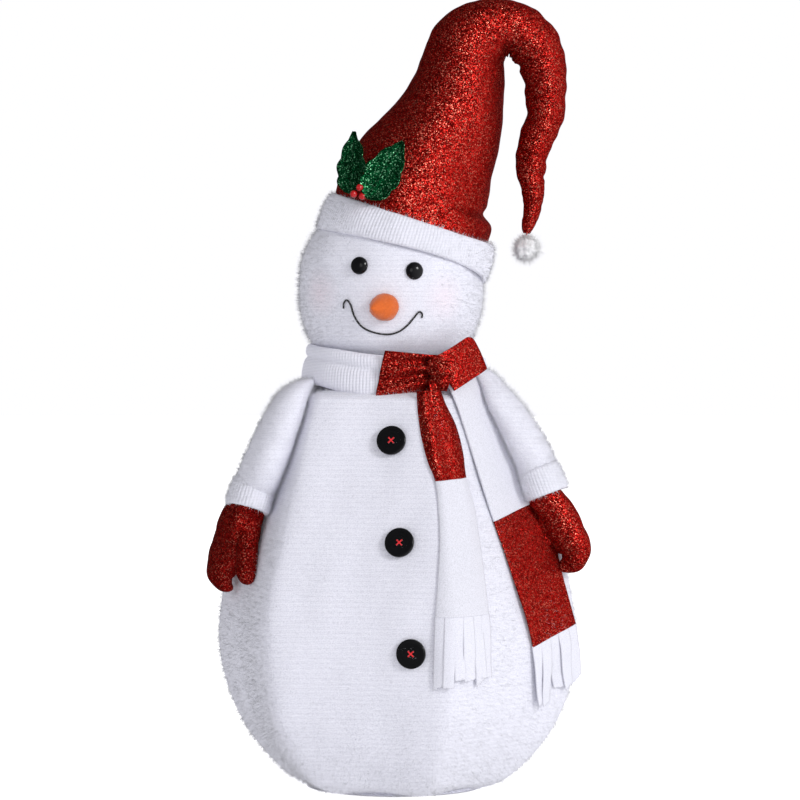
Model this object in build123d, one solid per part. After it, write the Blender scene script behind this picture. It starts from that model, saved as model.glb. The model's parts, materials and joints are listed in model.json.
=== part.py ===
from build123d import *
import math
import os

# A free-standing fabric snowman on a folding wire frame, in millimetres.
# The origin is the centre of the base on the floor. The face and buttons look along -Y, and +Z is up.
# An azimuth is measured from -Y (the front) towards +X.

os.makedirs("parts", exist_ok=True)

# --- Driving dimensions ---------------------------------------------------------------------------
SIDES = 6
RIDGE_AZIMUTH = 17.0            # a ridge of the six-sided body; the others follow every 60 degrees
FACET_AZIMUTH = RIDGE_AZIMUTH - 30.0
SIDE_AZIMUTH = RIDGE_AZIMUTH + 60.0
APOTHEM = math.cos(math.pi / SIDES)

FLANK_TOP = (171.0, 616.0)      # radius and height where the straight flank of a ridge starts
FLANK_FOOT = (266.0, 345.0)     # and where it runs into the belly
BELLY_Z = 235.0                 # height of the widest place
BELLY_BULGE = 18.5              # how much further out a ridge is there than where the flank ends
FOOT_RADIUS = 150.0             # radius of a ridge where it turns under, at the hem
HEM_Z = 3.0
COVER_TOP_Z = 614.0
COVER_WALL = 3.0
COVER_ARC = 20.0                # rounding of the cover at its shoulder and hem

WIRE_R = 2.5
HOOP_INSET = 9.5                # from the cover's ridge to the centre line of the outermost hoop
HOOP_STEP = 7.0                 # each hoop is this much smaller than the one it folds into
HOOP_TOP_Z = 606.0
HOOP_FOOT_Z = 12.0
HOOP_BENDS = (22.0, 30.0)       # bend radii of the wire at its top and foot
EYE_HEIGHT = 5.0

BASE_R = 120.0
BASE_T = 4.0
PEG_CIRCLE_R = 100.0
PEG_HOLE_R = 4.5

POLE_R = 8.0
POLE_BORE_R = 6.6
POLE_TOP_Z = 654.0
INNER_POLE_R = 6.5
INNER_POLE_FOOT_Z = 560.0
INNER_POLE_TOP_Z = 840.0
SOCKET_R = 11.0
SOCKET_TOP_Z = 40.0
FLANGE_SCREW_R = 27.5
COLLAR_HEIGHT = 8.0

NECK_R = 112.0
NECK_Z = (616.0, 654.0)

HEAD_X = -8.0
HEAD_R = 139.0
HEAD_Z = 785.0                  # height of the widest place
HEAD_CROWN = 109.0
HEAD_FOOT = (55.0, 662.0)       # edge of the flat underside
HEAD_CHEEK = (124.0, 708.0)     # a point that makes the jaw full

HAT_CLOTH = 2.0
TAIL_BEND = 35.0                # how far the hat's tail can be lifted at the fold

BUTTON_R = 22.0
BUTTON_T = 6.0
SCARF_T = 8.0
CLEAR = 0.5                     # gap between soft pieces of different bodies


# --- Small helpers ----------------------------------------------------------------------------------
def outward(azimuth):
    """Unit vector from the axis at an azimuth."""
    a = math.radians(azimuth)
    return Vector(math.sin(a), -math.cos(a), 0)


def around(azimuth):
    """Turns a piece drawn in the XZ plane (X outwards) to an azimuth."""
    return Rot(0, 0, azimuth - 90)


def ring(outer, inner, low, high):
    return Pos(0, 0, (low + high) / 2) * (Cylinder(outer, high - low) - Cylinder(inner, high - low + 1))


def rod(radius, start, end):
    """A straight round bar between two points."""
    start, end = Vector(*start), Vector(*end)
    plane = Plane(origin=start, z_dir=end - start)
    return extrude(plane * Circle(radius), (end - start).length)


def polar(radius, count, piece, start=0):
    """Copies of a piece on a circle, each turned to face out."""
    return [loc * piece for loc in PolarLocations(radius, count, start)]


# --- The body's side view: a straight flank, the belly's arc and the arc that turns under ------------
def body_outline(width, inset, top_z, foot_z, top_arc, foot_arc, start_x):
    """Edges from the top, outwards and down a ridge (width 1) or a facet (width APOTHEM), to the foot."""
    top = Vector(FLANK_TOP[0] * width, FLANK_TOP[1])
    foot = Vector(FLANK_FOOT[0] * width, FLANK_FOOT[1])
    down = (foot - top).normalized()
    inward = Vector(down.Y, -down.X)
    belly_r = (foot.Y - BELLY_Z) / down.X
    belly_center = foot + inward * belly_r
    belly_x = belly_center.X + belly_r
    under_run = belly_x - FOOT_RADIUS * width
    under_drop = BELLY_Z - HEM_Z
    under_r = (under_run**2 + under_drop**2) / (2 * under_run)
    under_center = Vector(belly_x - under_r, BELLY_Z)

    top_tangent = foot + inward * inset
    rise = (top_z - top_arc - top_arc * inward.Y - top_tangent.Y) / down.Y
    shoulder = top_tangent + down * rise
    shoulder_center = shoulder + inward * top_arc
    sine = (BELLY_Z - foot_z - foot_arc) / (under_r - inset - foot_arc)
    turn = math.asin(sine)
    out = Vector(math.cos(turn), -math.sin(turn))
    heel = under_center + out * (under_r - inset)
    heel_center = heel - out * foot_arc
    belly = Vector(belly_x - inset, BELLY_Z)

    def arc(center, radius, start, end):
        middle = ((start - center).normalized() + (end - center).normalized()).normalized()
        return ThreePointArc(start, center + middle * radius, end)

    crown = Vector(shoulder_center.X, top_z)
    sole = Vector(heel_center.X, foot_z)
    return [
        Line(Vector(start_x, top_z), crown),
        arc(shoulder_center, top_arc, crown, shoulder),
        Line(shoulder, top_tangent),
        arc(belly_center, belly_r - inset, top_tangent, belly),
        arc(under_center, under_r - inset, belly, heel),
        arc(heel_center, foot_arc, heel, sole),
        Line(sole, Vector(start_x, foot_z)),
    ]


def ridge_radius(z):
    """Radius of a ridge at a height on the flank or the belly."""
    slope = (FLANK_FOOT[0] - FLANK_TOP[0]) / (FLANK_TOP[1] - FLANK_FOOT[1])
    if z >= FLANK_FOOT[1]:
        return FLANK_TOP[0] + (FLANK_TOP[1] - z) * slope
    belly = FLANK_FOOT[0] + BELLY_BULGE
    share = (z - BELLY_Z) / (FLANK_FOOT[1] - BELLY_Z)
    if z >= BELLY_Z:
        return belly - BELLY_BULGE * share**2
    run = belly - FOOT_RADIUS
    radius = (run**2 + (BELLY_Z - HEM_Z) ** 2) / (2 * run)
    return belly - radius + math.sqrt(radius**2 - (BELLY_Z - z) ** 2)


def body_prism(inset, top_z, foot_z):
    """The six-sided body as the overlap of three slabs, one for each pair of opposite facets."""
    edges = body_outline(APOTHEM, inset, top_z, foot_z, COVER_ARC, COVER_ARC, 0)
    spine = Line(Vector(0, foot_z), Vector(0, top_z))
    half = make_face(Plane.XZ * (Curve() + edges + spine))
    face = half + mirror(half, Plane.YZ)
    slab = extrude(face, 400, both=True)
    solid = None
    for i in range(SIDES // 2):
        turned = around(FACET_AZIMUTH + 60 * i) * slab
        solid = turned if solid is None else solid & turned
    return solid


def body_cover():
    inside = body_prism(COVER_WALL, COVER_TOP_Z - COVER_WALL, HEM_Z + COVER_WALL)
    shell = body_prism(0, COVER_TOP_Z, HEM_Z) - inside
    hem_hole = Pos(0, 0, HEM_Z) * Cylinder(BASE_R + 4, 20)
    neck_hole = Pos(0, 0, COVER_TOP_Z) * Cylinder(26, 20)
    return shell - hem_hole - neck_hole


# --- The folding frame --------------------------------------------------------------------------------
def hoop(index, azimuth):
    """A closed wire hoop on two eyes; index 0 is the outermost and the others nest inside it."""
    step = HOOP_STEP * index
    top_z, foot_z = HOOP_TOP_Z - step, HOOP_FOOT_Z + step
    edges = body_outline(1, HOOP_INSET + step, top_z, foot_z, *HOOP_BENDS, SOCKET_R + 4)
    path = Wire([Plane.XZ * e for e in edges])
    section = Plane(path @ 0, z_dir=path % 0) * Circle(WIRE_R)
    side = sweep(section, path)
    both = side + mirror(side, Plane.YZ)
    top_eye = ring(POLE_R + 8, POLE_R + 0.3, top_z - EYE_HEIGHT / 2, top_z + EYE_HEIGHT / 2)
    foot_eye = ring(SOCKET_R + 7, SOCKET_R + 0.3, foot_z - EYE_HEIGHT / 2, foot_z + EYE_HEIGHT / 2)
    return around(azimuth) * (both + top_eye + foot_eye)


def hoop_washers():
    """Thin nylon washers between the eyes, so that the hoops turn freely."""
    gap = (HOOP_STEP - EYE_HEIGHT) / 2
    out = []
    for i in (1, 2):
        top = HOOP_TOP_Z - HOOP_STEP * i + EYE_HEIGHT / 2 + gap
        low = HOOP_FOOT_Z + HOOP_STEP * i - EYE_HEIGHT / 2 - gap
        out.append(ring(POLE_R + 6, POLE_R + 0.3, top - 0.7, top + 0.7))
        out.append(ring(SOCKET_R + 5, SOCKET_R + 0.3, low - 0.7, low + 0.7))
    return Compound(out)


def base_plate():
    plate = Pos(0, 0, BASE_T / 2) * Cylinder(BASE_R, BASE_T)
    holes = polar(PEG_CIRCLE_R, 4, Cylinder(PEG_HOLE_R, 3 * BASE_T), 45)
    screw_holes = polar(FLANGE_SCREW_R, 4, Cylinder(2.1, 3 * BASE_T))
    return plate - holes - screw_holes


def pole_socket():
    flange = ring(36, POLE_R + 0.3, BASE_T, BASE_T + 3)
    tube = ring(SOCKET_R, POLE_R + 0.3, BASE_T, SOCKET_TOP_Z)
    screw_holes = polar(FLANGE_SCREW_R, 4, Cylinder(2.1, 40))
    return flange + tube - screw_holes


def socket_screws():
    """Four screws that hold the socket's flange on the plate."""
    shank = Pos(0, 0, 0.5 + 3.3) * Cylinder(1.95, 6.5)
    head = Pos(0, 0, BASE_T + 3 + 0.8) * Cylinder(3.6, 1.5)
    return Compound(polar(FLANGE_SCREW_R, 4, shank + head))


def lower_pole():
    return ring(POLE_R, POLE_BORE_R, BASE_T + 0.1, POLE_TOP_Z)


def collar(z, pole_r):
    """A clamp collar on a pole, with its split on the back."""
    outer, bore = pole_r + 7, pole_r + 0.05
    body = ring(outer, bore, z, z + COLLAR_HEIGHT)
    return body - Pos(0, outer, z + COLLAR_HEIGHT / 2) * Box(2, outer * 2 - bore, COLLAR_HEIGHT + 1)


def upper_pole():
    return ring(INNER_POLE_R, INNER_POLE_R - 1.2, INNER_POLE_FOOT_Z, INNER_POLE_TOP_Z)


def head_rest():
    """The disc glued on the head's pole, which stands on the neck block and carries the head."""
    return ring(48, INNER_POLE_R + 0.05, NECK_Z[1] + CLEAR, HEAD_FOOT[1] - CLEAR)


def neck_block():
    return ring(NECK_R, POLE_R + 0.2, *NECK_Z)


# --- Head ---------------------------------------------------------------------------------------------
def head_solid(inset):
    radius = HEAD_R - inset
    foot = Vector(HEAD_FOOT[0] - inset, HEAD_FOOT[1] + inset)
    crown = HEAD_Z + HEAD_CROWN - inset
    jaw = ThreePointArc(foot, Vector(HEAD_CHEEK[0] - inset, HEAD_CHEEK[1]), Vector(radius, HEAD_Z))
    top = EllipticalCenterArc((0, HEAD_Z), radius, HEAD_CROWN - inset, 0, arc_size=90)
    spine = Line(Vector(0, crown), Vector(0, foot.Y))
    sole = Line(Vector(0, foot.Y), foot)
    face = make_face(Plane.XZ * (Curve() + [jaw, top, spine, sole]))
    return Pos(HEAD_X, 0, 0) * revolve(face, Axis.Z)


def arc_through(a, b, c):
    """Centre and radius of the circle through three points (x, z)."""
    ax, az, bx, bz, cx, cz = *a, *b, *c
    d = 2 * (ax * (bz - cz) + bx * (cz - az) + cx * (az - bz))
    sa, sb, sc = ax**2 + az**2, bx**2 + bz**2, cx**2 + cz**2
    x = (sa * (bz - cz) + sb * (cz - az) + sc * (az - bz)) / d
    z = (sa * (cx - bx) + sb * (ax - cx) + sc * (bx - ax)) / d
    return x, z, math.hypot(ax - x, az - z)


def head_point(x, z, lift=0.0):
    """A point on the front of the head (or lifted off it), at a given place across and up."""
    if z > HEAD_Z:
        radius = HEAD_R * math.sqrt(1 - ((z - HEAD_Z) / HEAD_CROWN) ** 2)
    else:
        center_x, center_z, jaw_r = arc_through(HEAD_FOOT, HEAD_CHEEK, (HEAD_R, HEAD_Z))
        radius = center_x + math.sqrt(jaw_r**2 - (z - center_z) ** 2)
    return Vector(x, -math.sqrt((radius + lift) ** 2 - (x - HEAD_X) ** 2), z)


def head_socket():
    return ring(INNER_POLE_R + 2.6, INNER_POLE_R + 0.3, NECK_Z[1] + 10, INNER_POLE_TOP_Z + 6)


def head_form():
    bore = Pos(0, 0, 750) * Cylinder(INNER_POLE_R + 2.8, 200)
    return head_solid(4) - bore


def head_cover():
    hole = Pos(0, 0, HEAD_FOOT[1]) * Cylinder(INNER_POLE_R + 4, 20)
    return head_solid(0) - head_solid(3.5) - hole


EYES = {"left_eye": (-54.0, 795.0), "right_eye": (27.0, 787.0)}
EYE_R = 13.0


def facing(point, x, z):
    """A plane on the head's front whose Z axis points out of it."""
    return Plane(origin=point, z_dir=Vector(x - HEAD_X, point.Y, (z - HEAD_Z) * 0.6))


def eye(x, z):
    """A domed safety eye, on a shank that passes through the cover into the head."""
    plane = facing(head_point(x, z), x, z)
    dome = scale(Sphere(EYE_R), by=(1, 1, 0.55)) & Pos(0, 0, 10) * Box(40, 40, 20)
    return plane * Pos(0, 0, 1.6) * (dome + Pos(0, 0, -5) * Cylinder(2, 11))


def at_eyes(piece):
    return [facing(head_point(x, z), x, z) * piece for x, z in EYES.values()]


def eye_washers():
    """Lock washers pushed on the shanks, in pockets of the head's form."""
    return Compound(at_eyes(Pos(0, 0, -6.4) * (Cylinder(7, 1.6) - Cylinder(2.05, 4))))


NOSE_BASE = (-10.0, 732.0)
NOSE_LENGTH = 42.0
NOSE_R = 19.0


def nose():
    """A felt cone that points a little to its left and down."""
    base = head_point(*NOSE_BASE)
    plane = Plane(origin=base, z_dir=Vector(-0.5, -0.86, -0.03))
    cone = Pos(0, 0, NOSE_LENGTH / 2) * Cone(NOSE_R, 5, NOSE_LENGTH)
    tip = Pos(0, 0, NOSE_LENGTH) * Sphere(5)
    return plane * (cone + tip) - head_solid(-0.3)


MOUTH = [(-77, 733), (-70, 741), (-63, 726), (-48, 702), (-30, 694), (-10, 691), (8, 696), (24, 709),
         (35, 723)]


def mouth_cord():
    """The smile, a thin cord stitched on the cover."""
    points = [head_point(x, z, 3.0) for x, z in MOUTH]
    path = FilletPolyline(*points, radius=[4] + [8] * (len(points) - 3))
    return sweep(Plane(path @ 0, z_dir=path % 0) * Circle(1.1), path)


# --- Hat ------------------------------------------------------------------------------------------------
# Each section is (x, z, radius, lean): lean is the axis's angle from +Z towards +X.
BAND = [(6, 811, 137, 18), (24.5, 868, 130, 18)]
CROWN = [(22, 860, 123, 18), (27, 913, 116, 17), (52, 970, 99, 20), (86, 1039, 79, 20), (103, 1105, 66, 22),
         (124, 1143, 56, 45), (148, 1155, 47, 68), (171, 1157, 42.5, 92), (190, 1149, 41, 118)]
TAIL = [(193, 1147, 40, 122), (212, 1130, 38.5, 140), (224, 1103, 35, 165), (228, 1065, 32, 180),
        (227, 1023, 29.5, 187), (213, 987, 26, 198), (205, 956, 24.5, 190), (207, 911, 18.5, 176),
        (209, 889, 14, 185), (201, 858, 10, 198)]
POMPOM = (199.0, 823.0)
POMPOM_R = 20.0
TAIL_HINGE = (190.0, 1149.0)


def leaning_plane(x, z, lean):
    """A plane across the hat's bent axis, whose normal leans from +Z towards +X."""
    a = math.radians(lean)
    return Plane(origin=(x, 0, z), x_dir=(0, 1, 0), z_dir=(math.sin(a), 0, math.cos(a)))


def section_loft(sections, inset=0.0):
    """A ruled loft through round sections that lie on a bent axis in the XZ plane."""
    faces = [leaning_plane(x, z, lean) * Circle(radius - inset) for x, z, radius, lean in sections]
    return loft(faces, ruled=True)


def hat_shell():
    skirt = section_loft(CROWN) - section_loft(CROWN, HAT_CLOTH)
    return skirt - head_solid(-CLEAR)


def hat_filling():
    stuffing = section_loft(CROWN[1:-1], HAT_CLOTH + 1.5)
    return stuffing - head_solid(-CLEAR - 2) - hat_wire(1.0)


def bent_wire(points, radius):
    path = FilletPolyline(*[Vector(x, 0, z) for x, z in points], radius=[12] * (len(points) - 2))
    return sweep(Plane(path @ 0, z_dir=path % 0) * Circle(radius), path)


def hat_wire(grow=0.0):
    """A soft iron wire in the crown that keeps the hat's bend."""
    return bent_wire([(30, 925), (52, 970), (86, 1039), (103, 1105), (130, 1143), (160, 1152)], 1.6 + grow)


def tail_wire(grow=0.0):
    return bent_wire([(212, 1125), (224, 1103), (228, 1065), (227, 1023), (213, 987), (205, 956), (207, 915)],
                     1.6 + grow)


def hat_band():
    band = section_loft(BAND) - section_loft(BAND, 6)
    widened = section_loft([(x, z, r + 0.3, lean) for x, z, r, lean in CROWN[:2]])
    return band - head_solid(-CLEAR) - widened


def before_fold(lean):
    """All that lies on the crown's side of a plane through the fold."""
    return leaning_plane(*TAIL_HINGE, lean) * Pos(0, 0, CLEAR - 60) * Box(150, 150, 120)


def tail_shell():
    """The tail's cloth, cut back at the fold so that it can be lifted without meeting the crown."""
    cloth = section_loft(TAIL) - section_loft(TAIL[:-1], HAT_CLOTH)
    fold_lean = CROWN[-1][3]
    return cloth - before_fold(fold_lean - 4) - before_fold(fold_lean + TAIL_BEND + 1)


def tail_filling():
    return section_loft(TAIL[1:-2], HAT_CLOTH + 1.5) - tail_wire(1.0)


def holly_leaf(root, tip):
    """A glittered leaf with three points on each side, standing off the hat."""
    along = tip - root
    length = along.length
    side = []
    for share, out in LEAF_SIDE:
        side.append((share * length, out * length * 0.22))
    rim = side + [(length, 0)] + [(x, -y) for x, y in reversed(side)]
    across = along.cross(LEAF_FACING)
    plane = Plane(origin=root, x_dir=along, z_dir=across.cross(along) * -1)
    return extrude(plane * make_face(Polyline(*rim, close=True)), 1.5)


# One side of a leaf: (share of its length, share of its half width).
LEAF_SIDE = [(0.0, 0.15), (0.12, 0.75), (0.22, 0.45), (0.42, 1.0), (0.52, 0.55), (0.72, 0.8), (0.8, 0.35)]
LEAF_FACING = Vector(-0.45, -0.88, 0.15)
LEAVES = {
    "left_holly_leaf": (Vector(-68, -98, 908), Vector(-58, -84, 996)),
    "right_holly_leaf": (Vector(-40, -117, 900), Vector(12, -122, 982)),
}
BERRIES = [(-52, -116, 915), (-63, -113, 904), (-49, -120, 902)]
BERRY_R = 5.6


def berries():
    return Compound([Pos(*p) * Sphere(BERRY_R) for p in BERRIES])


def pompom_thread():
    return rod(0.8, (POMPOM[0], 0, POMPOM[1] + POMPOM_R + 0.5), (POMPOM[0], 0, 855))


# --- Arms -----------------------------------------------------------------------------------------------
# Each arm lies against one facet: (height, place along -Y, radius along the facet, radius away from it).
ARM_FACET = {"left": RIDGE_AZIMUTH - 90, "right": RIDGE_AZIMUTH + 30}
SLEEVES = {
    "left": [(604, -47, 30, 6), (568, -53, 35, 18), (520, -61, 34, 26), (458, -72, 28, 27)],
    "right": [(604, -62, 24, 6), (568, -74, 28, 18), (522, -82, 30, 26), (470, -86, 28, 27)],
}
CUFFS = {"left": (474, 428, -70, -78), "right": (494, 450, -84, -88)}
CUFF_R = 33.0
PALMS = {
    "left": [(430, -78, 20, 24), (410, -84, 26, 30), (370, -98, 27, 33), (335, -104, 24, 31),
             (312, -106, 17, 22), (304, -107, 8, 11)],
    "right": [(452, -88, 20, 24), (436, -88, 26, 30), (400, -84, 27, 32), (365, -80, 24, 30),
              (340, -78, 17, 22), (332, -78, 8, 11)],
}
THUMBS = {"left": ((-212, -104, 398), (-226, -114, 338)), "right": ((240, -112, 412), (246, -116, 362))}
THUMB_R = 12.5
FLANK_SLANT = 1.045             # how much further out a round arm sits on the sloping flank


def arm_center(side, z, y, away):
    """The place of an arm's axis so that it just clears its facet."""
    out = outward(ARM_FACET[side])
    reach = ridge_radius(z) * APOTHEM + away * FLANK_SLANT + 1.0
    return Vector((reach - out.Y * y) / out.X, y, z)


def arm_loft(side, sections, inset=0.0):
    facet = math.radians(ARM_FACET[side])
    centers = [arm_center(side, z, y, away) for z, y, along, away in sections]
    faces = []
    for i, (z, y, along, away) in enumerate(sections):
        axis = centers[min(i + 1, len(centers) - 1)] - centers[max(i - 1, 0)]
        plane = Plane(origin=centers[i], x_dir=Vector(math.cos(facet), math.sin(facet)), z_dir=axis)
        faces.append(plane * Ellipse(along - inset, away - min(inset, away / 2)))
    return loft(faces, ruled=True)


def sleeve(side, inset=0.0):
    return arm_loft(side, SLEEVES[side], inset)


def sleeve_cloth(side):
    return sleeve(side) - sleeve(side, 2.5)


def cuff(side):
    high, low, y_high, y_low = CUFFS[side]
    body = arm_loft(side, [(high, y_high, CUFF_R - 2, CUFF_R - 2), (low, y_low, CUFF_R, CUFF_R)])
    start, end = arm_center(side, high, y_high, CUFF_R), arm_center(side, low, y_low, CUFF_R)
    bore = rod(23, start + (start - end), end + (end - start))
    return body - bore - sleeve(side, -CLEAR) - mitten(side, -CLEAR)


def mitten(side, inset=0.0):
    start, end = THUMBS[side]
    ball = Sphere(THUMB_R - inset)
    thumb = rod(THUMB_R - inset, start, end) + Pos(*end) * ball + Pos(*start) * ball
    return arm_loft(side, PALMS[side], inset) + thumb


def mitten_cloth(side):
    return mitten(side) - mitten(side, 2)


# --- Buttons --------------------------------------------------------------------------------------------
BUTTONS = {"top": (-6.0, 539.0), "middle": (6.0, 391.0), "bottom": (23.0, 231.0)}
HOLE_CIRCLE_R = 5.0


def button_plane(x, z):
    """The plane of a button that lies on the front facet."""
    out = outward(FACET_AZIMUTH)
    reach = ridge_radius(z) * APOTHEM
    across = Vector(-out.Y, out.X)
    share = (x - out.X * reach) / across.X
    slope = 0.29 if z > FLANK_FOOT[1] else 0.0
    base = out * (reach + 1.5) + across * share + Vector(0, 0, z)
    return Plane(origin=base, x_dir=across, z_dir=out + Vector(0, 0, slope))


def button(x, z):
    """A four-hole button with a raised rim and a stepped, dished middle."""
    blank = Pos(0, 0, BUTTON_T / 2) * Cylinder(BUTTON_R, BUTTON_T)
    blank = fillet(blank.edges(), 1.8)
    dish = Pos(0, 0, BUTTON_T) * Cylinder(BUTTON_R - 6, 3)
    well = Pos(0, 0, BUTTON_T) * Cylinder(BUTTON_R - 11, 5.4)
    holes = polar(HOLE_CIRCLE_R, 4, Cylinder(1.7, 40), 45)
    return button_plane(x, z) * (blank - dish - well - holes)


def button_thread(x, z):
    """Crossed stitches through the four holes."""
    floor = BUTTON_T - 2.7
    legs = polar(HOLE_CIRCLE_R, 4, Pos(0, 0, 2.4) * Cylinder(0.9, 3.8), 45)
    bars = [Rot(0, 0, 45 + 90 * i) * Pos(0, 0, floor + 1.0) * Box(11.6, 1.8, 1.6) for i in range(2)]
    return button_plane(x, z) * (legs[0] + legs[1:] + bars)


# --- Scarf ----------------------------------------------------------------------------------------------
SCARF_Z = (615.0, 680.0)
SCARF_INNER_R = 116.0
SCARF_OUTER_R = 138.0
RED_FROM, RED_TO = -14.0, 24.0          # azimuths of the red stretch at the throat


def wedge(start, end):
    """A slice of the circle between two azimuths."""
    radius, steps = 400, 8
    points = [outward(start + (end - start) * i / steps) * radius for i in range(steps + 1)]
    face = make_face(Polyline(Vector(0, 0), *points, close=True))
    return Pos(0, 0, 400) * extrude(face, 600, both=True)


def scarf_neck(start, end):
    return ring(SCARF_OUTER_R, SCARF_INNER_R, *SCARF_Z) & wedge(start, end)


def scarf_knot():
    return ring(SCARF_OUTER_R + 20, SCARF_OUTER_R + CLEAR, 614, 666) & wedge(21, 35.5)


def lying_strip(azimuth, width_profile, low, high, lift):
    """Cloth lying on the body: between two heights, with its edges given as (z, left, right) across."""
    heights = sorted({high, low} | {z for z in range(60, 640, 40) if low < z < high}, reverse=True)
    inner = [(strip_reach(azimuth, z) + lift, z) for z in heights]
    outer = [(r + SCARF_T, z) for r, z in reversed(inner)]
    sheet = extrude(make_face(Plane.XZ * Polyline(*inner, *outer, close=True)), 250, both=True)
    left = [(l, z) for z, l, r in width_profile]
    right = [(r, z) for z, l, r in reversed(width_profile)]
    shape = extrude(make_face(Plane.YZ * Polyline(*left, *right, close=True)), 500, both=True)
    cut = Pos(0, 0, (low + high) / 2) * Box(1200, 600, high - low - CLEAR)
    return around(azimuth) * (sheet & shape & cut)


def strip_reach(azimuth, z):
    """How far out the body's surface is, on a ridge or in the middle of a facet."""
    on_ridge = abs((azimuth - RIDGE_AZIMUTH) % 60) < 1
    return ridge_radius(z) * (1 if on_ridge else APOTHEM)


CENTRE_EDGES = [(640, -28, 26), (483, -34, 30), (284, -38, 42), (150, -40, 46)]
SIDE_FACET = RIDGE_AZIMUTH + 30
SIDE_EDGES = [(640, -34, 26), (430, 0, 64), (235, 50, 114), (130, 66, 128)]
CENTRE_Z = {"red": (483, 610), "white": (284, 483), "fringe": (179, 284)}
SIDE_Z = {"white": (428, 608), "red": (236, 428), "fringe": (148, 236)}


def centre_tail(part):
    return lying_strip(RIDGE_AZIMUTH, CENTRE_EDGES, *CENTRE_Z[part], 3.0)


def side_tail(part):
    return lying_strip(SIDE_FACET, SIDE_EDGES, *SIDE_Z[part], 3.0)


def scarf_flap():
    """The red end of the loop, lying over the shoulder."""
    return ring(SCARF_OUTER_R + 11, SCARF_OUTER_R + CLEAR, 618, 686) & wedge(36.5, 63)


# --- All the pieces --------------------------------------------------------------------------------------
def pieces():
    yield "base_plate", base_plate()
    yield "pole_socket", pole_socket()
    yield "socket_screws", socket_screws()
    yield "lower_pole", lower_pole()
    stack = 2 * HOOP_STEP + EYE_HEIGHT / 2 + CLEAR
    yield "lower_collar", collar(HOOP_FOOT_Z + stack, SOCKET_R)
    yield "upper_collar", collar(HOOP_TOP_Z - stack - COLLAR_HEIGHT, POLE_R)
    yield "hoop_washers", hoop_washers()
    yield "outer_hoop", hoop(0, SIDE_AZIMUTH)
    yield "middle_hoop", hoop(1, RIDGE_AZIMUTH)
    yield "inner_hoop", hoop(2, RIDGE_AZIMUTH - 60)
    yield "body_cover", body_cover()
    yield "neck_block", neck_block()
    yield "upper_pole", upper_pole()
    yield "head_rest", head_rest()
    yield "head_socket", head_socket()
    yield "head_form", head_form() - at_eyes(Cylinder(8, 26))
    yield "head_cover", head_cover() - at_eyes(Cylinder(2.1, 30))
    for name, place in EYES.items():
        yield name, eye(*place)
    yield "eye_washers", eye_washers()
    yield "nose", nose()
    yield "mouth_cord", mouth_cord()
    yield "hat_shell", hat_shell()
    yield "hat_band", hat_band()
    yield "hat_filling", hat_filling()
    yield "hat_wire", hat_wire()
    for name, ends in LEAVES.items():
        yield name, holly_leaf(*ends)
    yield "holly_berries", berries()
    yield "tail_shell", tail_shell()
    yield "tail_filling", tail_filling()
    yield "tail_wire", tail_wire()
    yield "pompom", Pos(POMPOM[0], 0, POMPOM[1]) * Sphere(POMPOM_R)
    yield "pompom_thread", pompom_thread()
    for side in ("left", "right"):
        yield f"{side}_sleeve", sleeve_cloth(side)
        yield f"{side}_arm_filling", sleeve(side, 3.5)
        yield f"{side}_cuff", cuff(side)
        yield f"{side}_mitten", mitten_cloth(side)
        yield f"{side}_mitten_filling", mitten(side, 3)
    for name, place in BUTTONS.items():
        yield f"{name}_button", button(*place)
        yield f"{name}_button_thread", button_thread(*place)
    yield "scarf_neck_white", scarf_neck(RED_TO + 0.2, 360 + RED_FROM - 0.2)
    yield "scarf_neck_red", scarf_neck(RED_FROM, RED_TO)
    yield "scarf_knot", scarf_knot()
    yield "scarf_flap", scarf_flap()
    for part in CENTRE_Z:
        yield f"centre_tail_{part}", centre_tail(part)
    for part in SIDE_Z:
        yield f"side_tail_{part}", side_tail(part)


for name, shape in pieces():
    export_step(shape, f"parts/{name}.step")
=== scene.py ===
# A fabric snowman: white tinsel knit over a folding wire frame, with a red glitter hat, scarf and mittens.
# Metres, +Z up, the face along -Y. An azimuth is measured from -Y (the front) towards +X.

import json
import math

import bpy
import numpy as np
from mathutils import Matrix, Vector


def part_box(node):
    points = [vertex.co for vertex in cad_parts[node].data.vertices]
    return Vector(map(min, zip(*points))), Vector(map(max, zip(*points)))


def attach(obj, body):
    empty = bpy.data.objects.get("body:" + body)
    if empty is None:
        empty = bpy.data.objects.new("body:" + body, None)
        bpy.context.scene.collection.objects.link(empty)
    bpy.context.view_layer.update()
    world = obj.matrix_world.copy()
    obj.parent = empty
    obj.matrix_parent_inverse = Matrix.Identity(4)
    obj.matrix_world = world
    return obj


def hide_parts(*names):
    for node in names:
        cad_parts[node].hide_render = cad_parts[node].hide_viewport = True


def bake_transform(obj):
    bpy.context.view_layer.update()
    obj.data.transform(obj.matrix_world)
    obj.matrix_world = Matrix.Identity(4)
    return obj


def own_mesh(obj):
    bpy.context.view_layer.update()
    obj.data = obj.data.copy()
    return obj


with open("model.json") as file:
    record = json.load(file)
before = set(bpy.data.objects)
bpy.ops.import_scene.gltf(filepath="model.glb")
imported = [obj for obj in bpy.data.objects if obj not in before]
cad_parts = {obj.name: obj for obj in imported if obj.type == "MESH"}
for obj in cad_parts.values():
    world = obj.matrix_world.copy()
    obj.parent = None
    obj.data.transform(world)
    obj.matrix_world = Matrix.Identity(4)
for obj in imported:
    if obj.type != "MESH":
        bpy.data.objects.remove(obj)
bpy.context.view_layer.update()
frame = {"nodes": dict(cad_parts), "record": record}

RIDGE_AZIMUTH = 17.0
FACETS = [RIDGE_AZIMUTH - 30 + 60 * i for i in range(6)]
APOTHEM = math.cos(math.pi / 6)
FLANK_TOP = (0.171, 0.616)
FLANK_FOOT = (0.266, 0.345)
BELLY_Z = 0.235
BELLY_BULGE = 0.0185
FOOT_RADIUS = 0.150
KNIT_PITCH = 0.0076
RIB_PITCH = 0.0052
COLS_PER_RIB = 6
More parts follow.
